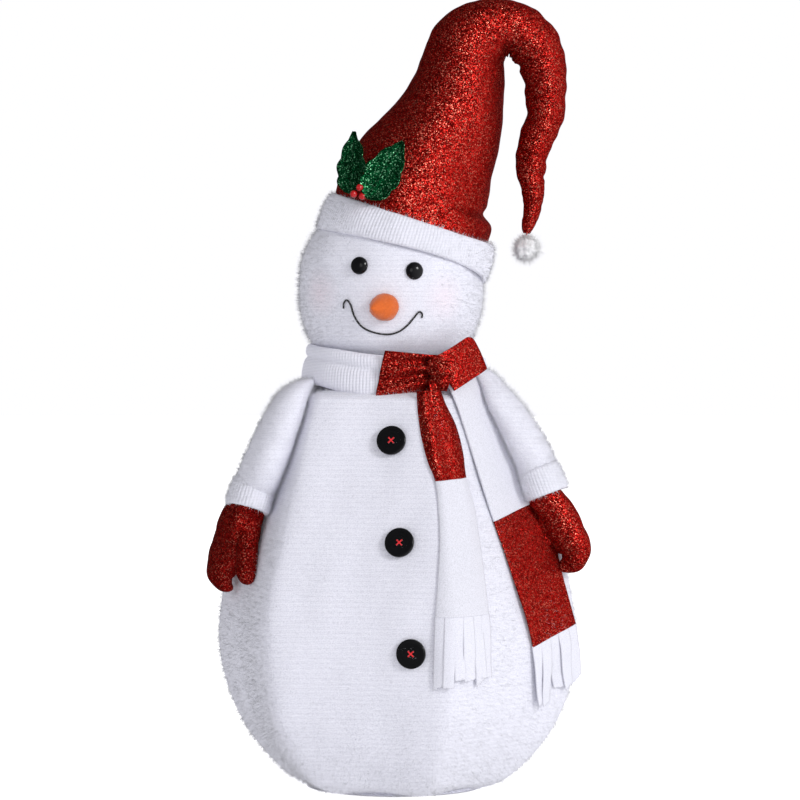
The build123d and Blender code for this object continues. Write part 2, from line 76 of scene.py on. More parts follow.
SCARF_T = 0.0026


# --- Mesh helpers
def outward(azimuth):
    a = np.radians(azimuth)
    return np.stack([np.sin(a), -np.cos(a), np.zeros_like(a)], axis=-1)


def polar(azimuth, radius, z):
    """Points at an azimuth, a distance out from the axis and a height."""
    grid = outward(azimuth) * radius[..., None]
    grid[..., 2] = z
    return grid


def points_of(obj):
    return np.array([v.co[:] for v in obj.data.vertices])


def move_points(obj, points):
    obj.data.vertices.foreach_set("co", points.ravel())


def new_object(name, points, faces, material):
    mesh = bpy.data.meshes.new(name)
    mesh.from_pydata(np.asarray(points).tolist(), [], faces)
    mesh.polygons.foreach_set("use_smooth", [True] * len(mesh.polygons))
    mesh.materials.append(material)
    mesh.update()
    obj = bpy.data.objects.new(name, mesh)
    bpy.context.collection.objects.link(obj)
    return obj


def skin(name, grid, material, around=True, along=False, caps=(False, False)):
    """A surface through a grid of points (rows, columns, 3); around closes the columns, along the rows."""
    rows, cols = grid.shape[:2]
    row_range = range(rows if along else rows - 1)
    col_range = range(cols if around else cols - 1)
    faces = []
    for r in row_range:
        for c in col_range:
            r2, c2 = (r + 1) % rows, (c + 1) % cols
            faces.append((r * cols + c, r * cols + c2, r2 * cols + c2, r2 * cols + c))
    points = grid.reshape(-1, 3)
    for row, wanted in zip((0, rows - 1), caps):
        if wanted:
            points = np.vstack([points, grid[row].mean(axis=0)])
            center = len(points) - 1
            ring = [(row * cols + c, row * cols + (c + 1) % cols) for c in range(cols)]
            faces += [(b, a, center) if row == 0 else (a, b, center) for a, b in ring]
    return new_object(name, points, faces, material)


def merge(name, objects):
    points, faces = [], []
    for obj in objects:
        start = len(points)
        points += [tuple(v.co) for v in obj.data.vertices]
        faces += [tuple(start + i for i in p.vertices) for p in obj.data.polygons]
    merged = new_object(name, points, faces, objects[0].data.materials[0])
    for obj in objects:
        bpy.data.objects.remove(obj)
    return merged


def smooth_line(values, count):
    """Catmull-Rom through the given values, evenly in their index."""
    values = np.asarray(values, float)
    last = len(values) - 1
    t = np.linspace(0, last, count)
    i = np.clip(t.astype(int), 0, last - 1)
    f = (t - i).reshape((-1,) + (1,) * (values.ndim - 1))
    a, b, c, d = (values[np.clip(i + k, 0, last)] for k in (-1, 0, 1, 2))
    return 0.5 * (2 * b + (c - a) * f + (2 * a - 5 * b + 4 * c - d) * f**2 + (3 * b - a - 3 * c + d) * f**3)


def ripple(points, size, seed, waves=7):
    """Gentle uneven waves, about -1 to 1, of roughly the given wavelength."""
    draw = np.random.RandomState(seed)
    total = np.zeros(points.shape[:-1])
    for _ in range(waves):
        direction = draw.normal(size=3)
        direction /= np.linalg.norm(direction)
        length = size * draw.uniform(0.7, 1.6)
        total += np.sin(points @ direction * (2 * np.pi / length) + draw.uniform(0, 6.28))
    return total / math.sqrt(waves)


def unit(v):
    return v / np.linalg.norm(v, axis=-1, keepdims=True)


def tube_grid(centers, side, r_side, r_away, cols, swell=None):
    """Rings round a line; side is the direction of each ring's first radius."""
    centers = np.asarray(centers, float)
    tangent = unit(np.gradient(centers, axis=0))
    side = np.broadcast_to(np.asarray(side, float), centers.shape)
    side = unit(side - tangent * (side * tangent).sum(axis=1, keepdims=True))
    away = np.cross(tangent, side)
    angle = np.linspace(0, 2 * np.pi, cols, endpoint=False)
    rows = np.linspace(0, 1, len(centers))[:, None]
    factor = 1.0 if swell is None else swell(rows, angle[None, :])
    factor = np.broadcast_to(factor, (len(centers), cols))[..., None]
    ring = (side[:, None] * (np.cos(angle)[None, :, None] * np.asarray(r_side)[:, None, None])
            + away[:, None] * (np.sin(angle)[None, :, None] * np.asarray(r_away)[:, None, None]))
    return centers[:, None] + ring * factor


def apply_modifiers(obj):
    graph = bpy.context.evaluated_depsgraph_get()
    final = bpy.data.meshes.new_from_object(obj.evaluated_get(graph), depsgraph=graph)
    obj.modifiers.clear()
    obj.data = final
    return obj


def thicken(obj, thickness, offset=-1.0):
    wall = obj.modifiers.new("wall", "SOLIDIFY")
    wall.thickness = thickness
    wall.offset = offset
    return apply_modifiers(obj)


def fibres(source, name, body, slot, count, length, material, seed, lean=0.7, width=0.0006, keep=None):
    """Short fibres, one thin three-sided spike each, scattered evenly over a surface and lit as it is.
    They are sparse and thin, so they throw no shadow and no light back on the cloth."""
    mesh = source.data
    mesh.calc_loop_triangles()
    corners = np.array([t.vertices[:] for t in mesh.loop_triangles])
    points = points_of(source)
    a, b, c = points[corners[:, 0]], points[corners[:, 1]], points[corners[:, 2]]
    cross = np.cross(b - a, c - a)
    area = np.linalg.norm(cross, axis=1) / 2
    draw = np.random.RandomState(seed)
    pick = draw.choice(len(area), count, p=area / area.sum())
    u, v = draw.uniform(size=(2, count, 1))
    fold = u + v > 1
    u, v = np.where(fold, 1 - u, u), np.where(fold, 1 - v, v)
    root = a[pick] + (b - a)[pick] * u + (c - a)[pick] * v
    normal = unit(cross[pick])
    if keep is not None:
        kept = keep(root, normal)
        root, normal = root[kept], normal[kept]
    count = len(root)
    direction = unit(normal + lean * draw.normal(size=(count, 3)))
    direction = np.where((direction * normal).sum(axis=1, keepdims=True) < 0.1, normal, direction)
    across = unit(np.cross(direction, draw.normal(size=(count, 3))))
    behind = np.cross(direction, across)
    foot = root - normal * 0.0005
    tip = root + direction * length * draw.uniform(0.45, 1.25, size=(count, 1))
    corners = [foot + (across * math.cos(a) + behind * math.sin(a)) * width / 2 for a in (0, 2.094, 4.189)]
    points = np.stack([*corners, tip], axis=1).reshape(-1, 3)
    start = np.arange(count)[:, None] * 4
    faces = np.concatenate([start + [0, 1, 3], start + [1, 2, 3], start + [2, 0, 3]]).tolist()
    made = new_object(name, points, faces, material)
    made.data.normals_split_custom_set_from_vertices(np.repeat(normal, 4, axis=0).tolist())
    made.visible_shadow = False
    made.visible_diffuse = False
    return put(made, body, slot)


def put(obj, body, slot, *nodes):
    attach(obj, body)
    if nodes:
        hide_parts(*nodes)
    return obj


# --- Materials
class Nodes:
    """Short ways to add and join the nodes of a tree."""

    def __init__(self, tree):
        self.tree = tree

    def node(self, kind, **settings):
        made = self.tree.nodes.new("ShaderNode" + kind)
        for key, value in settings.items():
            setattr(made, key, value)
        return made

    def join(self, source, target):
        self.tree.links.new(source, target)

    def feed(self, socket, value):
        if isinstance(value, (int, float)):
            socket.default_value = value
        elif isinstance(value, tuple):
            socket.default_value = (*value, 1)
        else:
            self.join(value, socket)

    def ramp(self, source, stops):
        made = self.node("ValToRGB")
        while len(made.color_ramp.elements) < len(stops):
            made.color_ramp.elements.new(0.5)
        for element, (position, color) in zip(made.color_ramp.elements, stops):
            element.position = position
            element.color = (*color, 1) if hasattr(color, "__len__") else (color, color, color, 1)
        self.join(source, made.inputs["Fac"])
        return made.outputs["Color"]

    def math(self, operation, *values):
        made = self.node("Math", operation=operation)
        for socket, value in zip(made.inputs, values):
            self.feed(socket, value)
        return made.outputs[0]

    def mix(self, factor, a, b, blend="MIX"):
        made = self.node("Mix", data_type="RGBA", blend_type=blend)
        for index, value in ((0, factor), (6, a), (7, b)):
            self.feed(made.inputs[index], value)
        return made.outputs[2]


class Shader(Nodes):
    """A new material, with its textures placed by the object's own coordinates."""

    def __init__(self, name, color, roughness, metallic=0.0, **sockets):
        self.material = bpy.data.materials.new(name)
        self.material.use_nodes = True
        super().__init__(self.material.node_tree)
        self.surface = self.tree.nodes["Principled BSDF"]
        self.surface.inputs["Base Color"].default_value = (*color, 1)
        self.surface.inputs["Roughness"].default_value = roughness
        self.surface.inputs["Metallic"].default_value = metallic
        for socket, value in sockets.items():
            self.surface.inputs[socket.replace("_", " ")].default_value = value
        self.place = self.node("TexCoord").outputs["Object"]

    def texture(self, kind, inputs, **settings):
        made = self.node(kind, **settings)
        for socket, value in inputs.items():
            made.inputs[socket].default_value = value
        self.join(self.place, made.inputs["Vector"])
        return made

    def noise(self, scale, detail=3.0, rough=0.6):
        return self.texture("TexNoise", {"Scale": scale, "Detail": detail, "Roughness": rough}).outputs["Fac"]

    def cells(self, scale):
        return self.texture("TexVoronoi", {"Scale": scale}, feature="F1")

    def bands(self, pitch, axis, distortion):
        inputs = {"Scale": 2 * math.pi / (20 * pitch), "Distortion": distortion}
        inputs.update({"Detail": 2.0, "Detail Scale": 1.5})
        return self.texture("TexWave", inputs, wave_type="BANDS", bands_direction=axis).outputs["Fac"]

    def bump(self, height, strength, distance):
        made = self.node("Bump")
        made.inputs["Strength"].default_value = strength
        made.inputs["Distance"].default_value = distance
        self.join(height, made.inputs["Height"])
        return made.outputs["Normal"]

    def color(self, source):
        self.join(source, self.surface.inputs["Base Color"])

    def roughness(self, source):
        self.join(source, self.surface.inputs["Roughness"])

    def normal(self, source):
        self.join(source, self.surface.inputs["Normal"])

    def flake_normal(self, cells, amount, base):
        """Each cell is a small mirror that faces its own way."""
        tilt = self.node("VectorMath", operation="SUBTRACT")
        self.join(cells.outputs["Color"], tilt.inputs[0])
        tilt.inputs[1].default_value = (0.5, 0.5, 0.5)
        scaled = self.node("VectorMath", operation="SCALE")
        scaled.inputs["Scale"].default_value = amount
        self.join(tilt.outputs[0], scaled.inputs[0])
        total = self.node("VectorMath", operation="ADD")
        self.join(base, total.inputs[0])
        self.join(scaled.outputs[0], total.inputs[1])
        final = self.node("VectorMath", operation="NORMALIZE")
        self.join(total.outputs[0], final.inputs[0])
        return final.outputs[0]


def tone(color, factor):
    return tuple(min(1, factor * c) for c in color)


def tinsel_knit(name, cheeks=()):
    """White knit in rows, with metallic threads that glint here and there."""
    s = Shader(name, (0.8, 0.8, 0.885), 0.7, Sheen_Weight=0.1, Sheen_Roughness=0.5)
    rows = s.bands(KNIT_PITCH, "Z", 1.1)
    threads = s.bands(KNIT_PITCH / 3, "Z", 2.2)
    fluff = s.noise(560, 4, 0.75)
    patches = s.noise(26, 3)
    lines = s.math("ADD", s.math("MULTIPLY", rows, 0.05), s.math("MULTIPLY", threads, 0.08))
    shade = s.math("ADD", lines, s.math("MULTIPLY", fluff, 0.85))
    tones = [(0.30, (0.58, 0.58, 0.66)), (0.52, (0.80, 0.80, 0.885)), (0.70, (0.93, 0.93, 0.99))]
    color = s.ramp(shade, tones)
    color = s.mix(s.ramp(patches, [(0.35, 0.0), (0.75, 0.2)]), color, (0.72, 0.72, 0.80))
    for center, radius in cheeks:
        away = s.node("VectorMath", operation="DISTANCE")
        s.join(s.place, away.inputs[0])
        away.inputs[1].default_value = center
        blush = s.ramp(s.math("DIVIDE", away.outputs["Value"], radius), [(0.15, 0.22), (1.0, 0.0)])
        color = s.mix(blush, color, (0.93, 0.62, 0.66))
    s.color(color)
    flakes = s.cells(520)
    glint = s.ramp(flakes.outputs["Color"], [(0.94, 0.0), (0.95, 1.0)])
    s.roughness(s.mix(glint, (0.72, 0.72, 0.72), (0.12, 0.12, 0.12)))
    soft = s.bump(shade, 0.7, 0.0014)
    tilted = s.flake_normal(flakes, 0.9, soft)
    chosen = s.node("Mix", data_type="VECTOR")
    s.join(glint, chosen.inputs[0])
    s.join(soft, chosen.inputs[4])
    s.join(tilted, chosen.inputs[5])
    s.normal(chosen.outputs[1])
    return s.material


def rib_knit(name):
    """Plain white rib; the ribs are in the mesh and the stitches are here."""
    s = Shader(name, (0.82, 0.82, 0.90), 0.8, Sheen_Weight=0.1, Sheen_Roughness=0.5)
    stitches = s.bands(0.0022, "Z", 1.2)
    fluff = s.noise(900, 4, 0.7)
    shade = s.math("ADD", s.math("MULTIPLY", stitches, 0.3), s.math("MULTIPLY", fluff, 0.8))
    s.color(s.ramp(shade, [(0.3, (0.64, 0.64, 0.72)), (0.65, (0.82, 0.82, 0.90)), (0.9, (0.92, 0.92, 0.98))]))
    s.normal(s.bump(shade, 0.6, 0.0012))
    return s.material


def glitter(name, dark, body, bright, painted_glint):
    """Cloth covered in metal flakes: every flake has its own tone and its own tilt, and a few carry a pale
    painted glint colour.
    """
    s = Shader(name, body, 0.34, 0.85, Specular_IOR_Level=0.10)
    s.surface.inputs["Specular Tint"].default_value = (*body, 1)
    flakes = s.cells(820)
    value = s.node("SeparateColor")
    s.join(flakes.outputs["Color"], value.inputs[0])
    # Flakes run from dark to bright red at random; the top few get the pale painted glint colour, a painted
    # highlight.
    shade = s.ramp(value.outputs[0], [(0.0, dark), (0.45, body), (0.88, bright), (0.97, painted_glint)])
    fine = s.node("SeparateColor")
    s.join(s.cells(1500).outputs["Color"], fine.inputs[0])
    shade = s.mix(0.3, shade, s.ramp(fine.outputs[0], [(0.35, dark), (0.95, bright)]))
    s.color(shade)
    s.roughness(s.ramp(value.outputs[1], [(0.0, 0.26), (1.0, 0.5)]))
    weave = s.bump(s.noise(320, 3), 0.5, 0.0012)
    s.normal(s.flake_normal(flakes, 0.78, weave))
    return s.material


def felt(name, color, light, scale):
    s = Shader(name, color, 0.9, Sheen_Weight=0.35, Sheen_Roughness=0.4)
    hair = s.noise(scale, 5, 0.75)
    s.color(s.ramp(hair, [(0.3, tone(color, 0.72)), (0.55, color), (0.75, light)]))
    s.normal(s.bump(hair, 0.55, 0.0012))
    return s.material


def plastic(name, color, roughness, grain=260, depth=0.00012, coat=0.0):
    s = Shader(name, color, roughness, Coat_Weight=coat, Coat_Roughness=0.05, Specular_IOR_Level=0.3)
    marks = s.noise(grain, 4, 0.6)
    s.roughness(s.ramp(marks, [(0.3, roughness * 0.8), (0.75, min(1.0, roughness * 1.5 + 0.03))]))
    s.color(s.ramp(marks, [(0.25, tone(color, 0.88)), (0.7, color)]))
    s.normal(s.bump(marks, 0.25, depth))
    return s.material


def metal(name, color, roughness, metallic):
    s = Shader(name, color, roughness, metallic)
    wear = s.noise(90, 5, 0.65)
    s.roughness(s.ramp(wear, [(0.3, roughness), (0.8, roughness + 0.18)]))
    s.color(s.ramp(wear, [(0.25, tone(color, 0.85)), (0.7, color)]))
    s.normal(s.bump(s.noise(500, 2), 0.2, 0.0001))
    return s.material


def twisted(name, color):
    """Thread or cord, with the diagonal lay of its strands."""
    s = Shader(name, color, 0.6, Sheen_Weight=0.2)
    strands = s.bands(0.0011, "DIAGONAL", 0.6)
    s.color(s.ramp(strands, [(0.1, tone(color, 0.5)), (0.8, tone(color, 1.3))]))
    s.normal(s.bump(strands, 0.6, 0.0003))
    return s.material


# The cheeks' middles and radii; then each glitter's dark, body, bright and painted glint colours.
CHEEKS = [((-0.112, -0.085, 0.757), 0.042), ((0.072, -0.112, 0.750), 0.042)]
RED = ((0.010, 0.0, 0.0), (0.20, 0.002, 0.002), (0.80, 0.030, 0.022), (1.0, 0.30, 0.20))
GREEN = ((0.0, 0.006, 0.002), (0.002, 0.05, 0.015), (0.008, 0.16, 0.05), (0.30, 0.75, 0.42))
RECIPES = {
    "tinsel_knit": (tinsel_knit,),
    "face_knit": (tinsel_knit, CHEEKS),
    "rib_knit": (rib_knit,),
    "fringe_felt": (felt, (0.78, 0.78, 0.86), (0.86, 0.86, 0.92), 800),
    "scarf_fleece": (felt, (0.74, 0.74, 0.81), (0.80, 0.80, 0.87), 600),
    "red_glitter": (glitter, *RED),
    "green_glitter": (glitter, *GREEN),
    "orange_felt": (felt, (0.70, 0.13, 0.014), (0.86, 0.25, 0.035), 620),
    "filling": (felt, (0.84, 0.84, 0.82), (0.93, 0.93, 0.92), 180),
    "foam": (plastic, (0.88, 0.88, 0.86), 0.85, 900, 0.0006),
    "white_wire": (metal, (0.86, 0.86, 0.86), 0.3, 0.0),
    "white_steel": (metal, (0.84, 0.84, 0.84), 0.38, 0.0),
    "zinc": (metal, (0.62, 0.63, 0.65), 0.3, 1.0),
    "nylon": (plastic, (0.82, 0.82, 0.78), 0.5),
    "black_plastic": (plastic, (0.004, 0.004, 0.005), 0.14, 120, 0.00006),
    "berry_plastic": (plastic, (0.50, 0.008, 0.010), 0.15, 150, 0.0001, 0.8),
    "black_cord": (twisted, (0.012, 0.012, 0.013)),
    "red_thread": (twisted, (0.85, 0.008, 0.016)),
    "pompom_fluff": (felt, (0.98, 0.98, 0.99), (1.0, 1.0, 1.0), 1400),
    "tinsel": (felt, (0.84, 0.84, 0.92), (0.97, 0.97, 1.0), 900),
}
M = {name: make(name, *values) for name, (make, *values) in RECIPES.items()}


# --- Body
def ridge_radius(z):
    """Radius of a ridge at a height on the flank or the belly."""
    z = np.asarray(z, float)
    slope = (FLANK_FOOT[0] - FLANK_TOP[0]) / (FLANK_TOP[1] - FLANK_FOOT[1])
    flank = FLANK_TOP[0] + (FLANK_TOP[1] - z) * slope
    belly = FLANK_FOOT[0] + BELLY_BULGE
    upper = belly - BELLY_BULGE * ((z - BELLY_Z) / (FLANK_FOOT[1] - BELLY_Z)) ** 2
    run = belly - FOOT_RADIUS
    bend = (run**2 + BELLY_Z**2) / (2 * run)
    under = belly - bend + np.sqrt(np.maximum(bend**2 - (BELLY_Z - z) ** 2, 0))
    return np.where(z > FLANK_FOOT[1], flank, np.where(z > BELLY_Z, upper, under))


def six_sided(azimuth, sharpness=34):
    """Radius of a soft-cornered hexagon whose facets are at distance 1."""
    total = 0
    for facet in FACETS:
        total = total + np.maximum(np.cos(np.radians(azimuth - facet)), 0) ** sharpness
    return total ** (-1 / sharpness)


def body_reach(azimuth, z):
    """How far out the cover is at an azimuth and height."""
    facet = ridge_radius(z) * APOTHEM
    hollow = 0.0028 * np.cos(np.radians(3 * (azimuth - FACETS[0]))) ** 4
    return facet * six_sided(azimuth) * 1.004 - hollow


def body_cover():
    turn = np.linspace(0, 360, 300, endpoint=False)[None, :]
    side_z = np.concatenate([np.linspace(0.0035, 0.05, 16)[:-1], np.linspace(0.05, 0.596, 190)])[:, None]
    side_r = body_reach(turn, side_z)
    side_r = side_r - 0.016 * np.clip(1 - side_z / 0.022, 0, 1) ** 2
    hem_r = np.linspace(0.125, 0.136, 4)[:, None] + 0 * turn
    hem_z = np.array([0.0065, 0.0035, 0.0026, 0.0026])[:, None] + 0 * turn
    share = np.linspace(0.04, 1, 16)[:, None]
    curve = 1 - np.cos(share * np.pi / 2)
    top_r = side_r[-1:] + (0.112 - side_r[-1:]) * curve
    top_z = 0.596 + 0.016 * np.sin(share * np.pi / 2) + 0 * turn
    r = np.vstack([hem_r, side_r, top_r])
    z = np.vstack([hem_z, side_z + 0 * turn, top_z])
    grid = polar(turn + 0 * z, r, z)
    slack = ripple(grid, 0.11, 3) * 0.0012 + ripple(grid * [1, 1, 0.25], 0.05, 4) * 0.0006
    hold = np.clip(z / 0.05, 0, 1) * np.clip((0.64 - z) / 0.06, 0, 1)
    grid += outward(turn + 0 * z) * (slack * hold)[..., None]
    return skin("body_cover_cloth", grid, M["tinsel_knit"])


def flatten(obj):
    """The piece folds flat with the frame, towards the plane of the fixed hoop; here it only gets its own
    copy of its mesh.
    """
    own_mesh(obj)


# --- Head
HEAD_LOW, HEAD_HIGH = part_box("head_cover")
HEAD_X = (HEAD_LOW[0] + HEAD_HIGH[0]) / 2
HEAD_R = 0.139
HEAD_Z = 0.785
HEAD_CROWN = 0.109
HEAD_FOOT = 0.664
JAW_DEPTH = 0.160
JAW_SQUARE = 3.2


def head_radius(z):
    z = np.asarray(z, float)
    top = HEAD_R * np.sqrt(np.clip(1 - ((z - HEAD_Z) / HEAD_CROWN) ** 2, 0, 1))
    jaw = HEAD_R * np.sqrt(1 - (np.clip(HEAD_Z - z, 0, 1) / JAW_DEPTH) ** JAW_SQUARE)
    return np.where(z > HEAD_Z, top, jaw)


def face_point(x, z, lift=0.0):
    """A point on the front of the head, at a place across and up."""
    r = head_radius(z) + lift
    return np.array([x, -math.sqrt(r**2 - (x - HEAD_X) ** 2), z])


def head_cover():
    swing = np.linspace(-1, 1, 110)
    rise = np.sin(swing * np.pi / 2)
    z = HEAD_Z + rise * np.where(swing < 0, HEAD_Z - HEAD_FOOT, HEAD_CROWN * 0.9995)
    turn = np.linspace(0, 360, 180, endpoint=False)
    r = head_radius(z)[:, None] + 0 * turn[None]
    grid = polar(turn[None] + 0 * r, r, z[:, None])
    grid += outward(turn[None] + 0 * r) * (ripple(grid, 0.09, 8) * 0.0012)[..., None]
    grid[..., 0] += HEAD_X
    return skin("head_cover_cloth", grid, M["face_knit"], caps=(True, True))


def facing_frame(x, z):
    """Origin and axes of a trim on the face: right, up and out."""
    point = face_point(x, z)
    out = unit(np.array([x - HEAD_X, point[1], (z - HEAD_Z) * 0.6]))
    right = unit(np.cross(out, [0, 0, 1]) * -1)
    return point, right, np.cross(out, right), out


def lathe(name, profile, origin, axes, material, cols=48, steps=None):
    """A turned piece: profile is (radius, height) along the third axis."""
    right, up, out = axes
    profile = smooth_line(profile, steps) if steps else np.asarray(profile)
    angle = np.linspace(0, 2 * np.pi, cols, endpoint=False)
    radial = np.cos(angle)[:, None] * right + np.sin(angle)[:, None] * up
    grid = np.asarray(origin) + profile[:, 0, None, None] * radial + profile[:, 1, None, None] * out
    return skin(name, grid, material, caps=(True, True))


EYES = {"left_eye": (-0.054, 0.7982), "right_eye": (0.027, 0.7905)}
EYE_PROFILE = [
    (0.002, -0.008), (0.0021, 0.0008), (0.0122, 0.0006), (0.0131, 0.0016), (0.0128, 0.0030),
    (0.0116, 0.0046), (0.0090, 0.0066), (0.0052, 0.0081), (0.0016, 0.0086),
]
NOSE_BASE = (-0.0125, 0.7365)
NOSE_PROFILE = [
    (0.012, -0.010), (0.0180, -0.002), (0.0205, 0.006), (0.0192, 0.017), (0.0148, 0.028),
    (0.0088, 0.038), (0.0036, 0.0445), (0.0008, 0.0465),
]
MOUTH = [
    (-0.0785, 0.734), (-0.078, 0.742), (-0.0735, 0.7465), (-0.068, 0.740), (-0.062, 0.722),
    (-0.051, 0.707), (-0.035, 0.699), (-0.014, 0.6955), (0.003, 0.699), (0.017, 0.709), (0.028, 0.722),
    (0.0345, 0.729), (0.039, 0.7265), (0.0387, 0.7205),
]


def face():
    for name, (x, z) in EYES.items():
        point, right, up, out = facing_frame(x, z)
        axes = (right, up, out)
        eye = lathe(name + "_dome", EYE_PROFILE, point + out * 0.001, axes, M["black_plastic"], steps=30)
        put(eye, "head", "black_plastic", name)
    point, right, up, out = facing_frame(*NOSE_BASE)
    out = unit(np.array([-0.50, -0.86, -0.02]))
    right = unit(np.cross([0, 0, 1], out))
    axes = (right, np.cross(out, right), out)
    nose = lathe("nose_felt", NOSE_PROFILE, point, axes, M["orange_felt"], steps=40)
    points = points_of(nose)
    move_points(nose, points + unit(points - point) * (ripple(points, 0.02, 31) * 0.0005)[:, None])
    put(nose, "head", "orange_felt", "nose")
    fibres(nose, "nose_fuzz", "head", "orange_felt", 1500, 0.0022, M["orange_felt"], 5, 0.8, 0.0003)
    line = smooth_line([face_point(x, z, 0.0012) for x, z in MOUTH], 150)
    grid = tube_grid(line, (0, 1, 0.1), np.full(150, 0.0014), np.full(150, 0.0014), 10)
    mouth = skin("mouth_cord_stitched", grid, M["black_cord"], caps=(True, True))
    put(mouth, "head", "black_cord", "mouth_cord")


def head():
    cover = head_cover()
    put(cover, "head", "tinsel_knit", "head_cover", "head_form")
    fibres(cover, "head_fuzz", "head", "tinsel_knit", 26000, 0.0085, M["tinsel"], 11, 0.8)
    face()


# --- Hat
LEAN = math.radians(18.0)
BAND_FOOT = np.array([0.007, 0, 0.811])
# The hat's middle line: across, up, radius across, radius front to back, lean from upright in degrees.
HAT_LINE = [
    (0.021, 0.857, 0.122, 0.124, 18), (0.0245, 0.872, 0.123, 0.124, 18),
    (0.028, 0.893, 0.122, 0.121, 17), (0.026, 0.913, 0.1165, 0.117, 16),
    (0.036, 0.938, 0.110, 0.109, 17), (0.0525, 0.970, 0.0985, 0.099, 19),
    (0.0725, 1.005, 0.0885, 0.090, 20), (0.088, 1.039, 0.078, 0.081, 19),
    (0.098, 1.072, 0.070, 0.074, 17), (0.1045, 1.103, 0.066, 0.068, 22),
    (0.112, 1.128, 0.0635, 0.062, 33), (0.126, 1.145, 0.0575, 0.057, 48),
    (0.147, 1.155, 0.0500, 0.052, 68), (0.170, 1.157, 0.0440, 0.047, 90),
    (0.192, 1.150, 0.0415, 0.043, 118), (0.211, 1.131, 0.0405, 0.040, 140),
    (0.222, 1.104, 0.0365, 0.038, 163), (0.2275, 1.066, 0.0325, 0.034, 178),
    (0.226, 1.024, 0.0300, 0.031, 186), (0.214, 0.988, 0.0265, 0.028, 196),
    (0.206, 0.956, 0.0245, 0.025, 188), (0.206, 0.930, 0.0215, 0.022, 180),
    (0.208, 0.908, 0.0175, 0.019, 178), (0.2085, 0.888, 0.0145, 0.015, 184),
    (0.2035, 0.868, 0.0118, 0.012, 196), (0.1995, 0.853, 0.0085, 0.009, 196),
    (0.1985, 0.846, 0.0050, 0.005, 188),
]
# Place along HAT_LINE, reach along it, depth, angle round it (0 is the outer or left side) and spread.
GATHERS = [
    (2.6, 0.45, 0.060, 180, 40), (12.6, 0.30, 0.045, 150, 55), (13.5, 0.28, 0.075, 180, 60),
    (14.6, 0.25, 0.050, 20, 45), (15.6, 0.30, 0.095, 190, 55), (16.7, 0.32, 0.070, 175, 60),
    (17.3, 0.22, 0.050, 300, 60), (18.0, 0.34, 0.100, 185, 60), (18.9, 0.26, 0.060, 60, 60),
    (19.7, 0.34, 0.080, 350, 60), (20.9, 0.30, 0.090, 10, 60), (21.6, 0.30, 0.070, 200, 60),
    (22.9, 0.28, 0.085, 20, 60), (23.8, 0.30, 0.070, 190, 60),
]


def hat_cloth():
    """The red sock of the hat: a leaning cone that folds over into a drooping, gathered tail."""
    rows, cols = 390, 120
    line = smooth_line(HAT_LINE, rows)
    place = np.linspace(0, len(HAT_LINE) - 1, rows)[:, None]
    angle = np.linspace(0, 2 * np.pi, cols, endpoint=False)[None, :]
    lean = np.radians(line[:, 4])
    out = np.stack([-np.cos(lean), 0 * lean, np.sin(lean)], axis=1)
    center = np.stack([line[:, 0], 0 * lean, line[:, 1]], axis=1)
    factor = np.ones((rows, cols))
    for at, reach, depth, where, spread in GATHERS:
        turn = np.degrees(angle) - where
        near = np.exp(-((np.mod(turn + 180, 360) - 180) / spread) ** 2)
        factor -= 1.35 * depth * np.exp(-((place - at) / reach) ** 2) * near
    ruffle = np.sin(place * 9.4 + 1.2 * np.sin(angle + 0.6 * place)) * np.sin(place * 2.3 + angle)
    factor += 0.022 * ruffle * np.clip((place - 11) / 3, 0, 1)
    ring = (out[:, None] * (np.cos(angle)[..., None] * line[:, 2, None, None])
            + np.array([0, -1, 0]) * (np.sin(angle)[..., None] * line[:, 3, None, None]))
    grid = center[:, None] + ring * factor[..., None]
    soft = ripple(grid, 0.075, 21) * 0.014 + ripple(grid, 0.028, 22) * 0.010 * np.clip(place / 14, 0.25, 1)
    grid = center[:, None] + (grid - center[:, None]) * (1 + soft[..., None])
    cloth = skin("hat_cloth", grid, M["red_glitter"], caps=(False, True))
    thicken(cloth, 0.0016)
    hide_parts("hat_shell", "hat_filling", "tail_shell", "tail_filling")
    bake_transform(cloth)


def ribbed_loop(name, section, ribs, depth, place):
    """A knitted band. section is a closed outline (radius, height, rib share); place turns it into points."""
    angle = np.linspace(0, 2 * np.pi, ribs * COLS_PER_RIB, endpoint=False)[None, :]
    section = np.asarray(section)
    rib = np.abs(np.cos(angle * ribs / 2)) ** 0.7 - 0.6
    radius = section[:, 0, None] + depth * section[:, 2, None] * rib
    grid = place(radius, section[:, 1, None] + 0 * angle, angle)
    return skin(name, grid, M["rib_knit"], along=True)


def roll_section(low, high, r_low, r_high, wall, belly):
    """A thick band's outline: up the outside, over the rim and down the inside."""
    share = np.linspace(0, 1, 14)
    wide, tall = r_high - r_low, high - low
    outer = [(r_low + wide * t + belly * np.sin(t * np.pi) ** 0.6, low + tall * t, 1.0) for t in share]
    top = [(r_high - wall * 0.35, high + wall * 0.32, 0.6), (r_high - wall, high, 0.0)]
    inner = [(r_low + wide * t - wall, low + tall * t, 0.0) for t in share[::-1][1:-1]]
    foot = [(r_low - wall, low, 0.0), (r_low - wall * 0.35, low - wall * 0.32, 0.6)]
    return outer + top + inner + foot


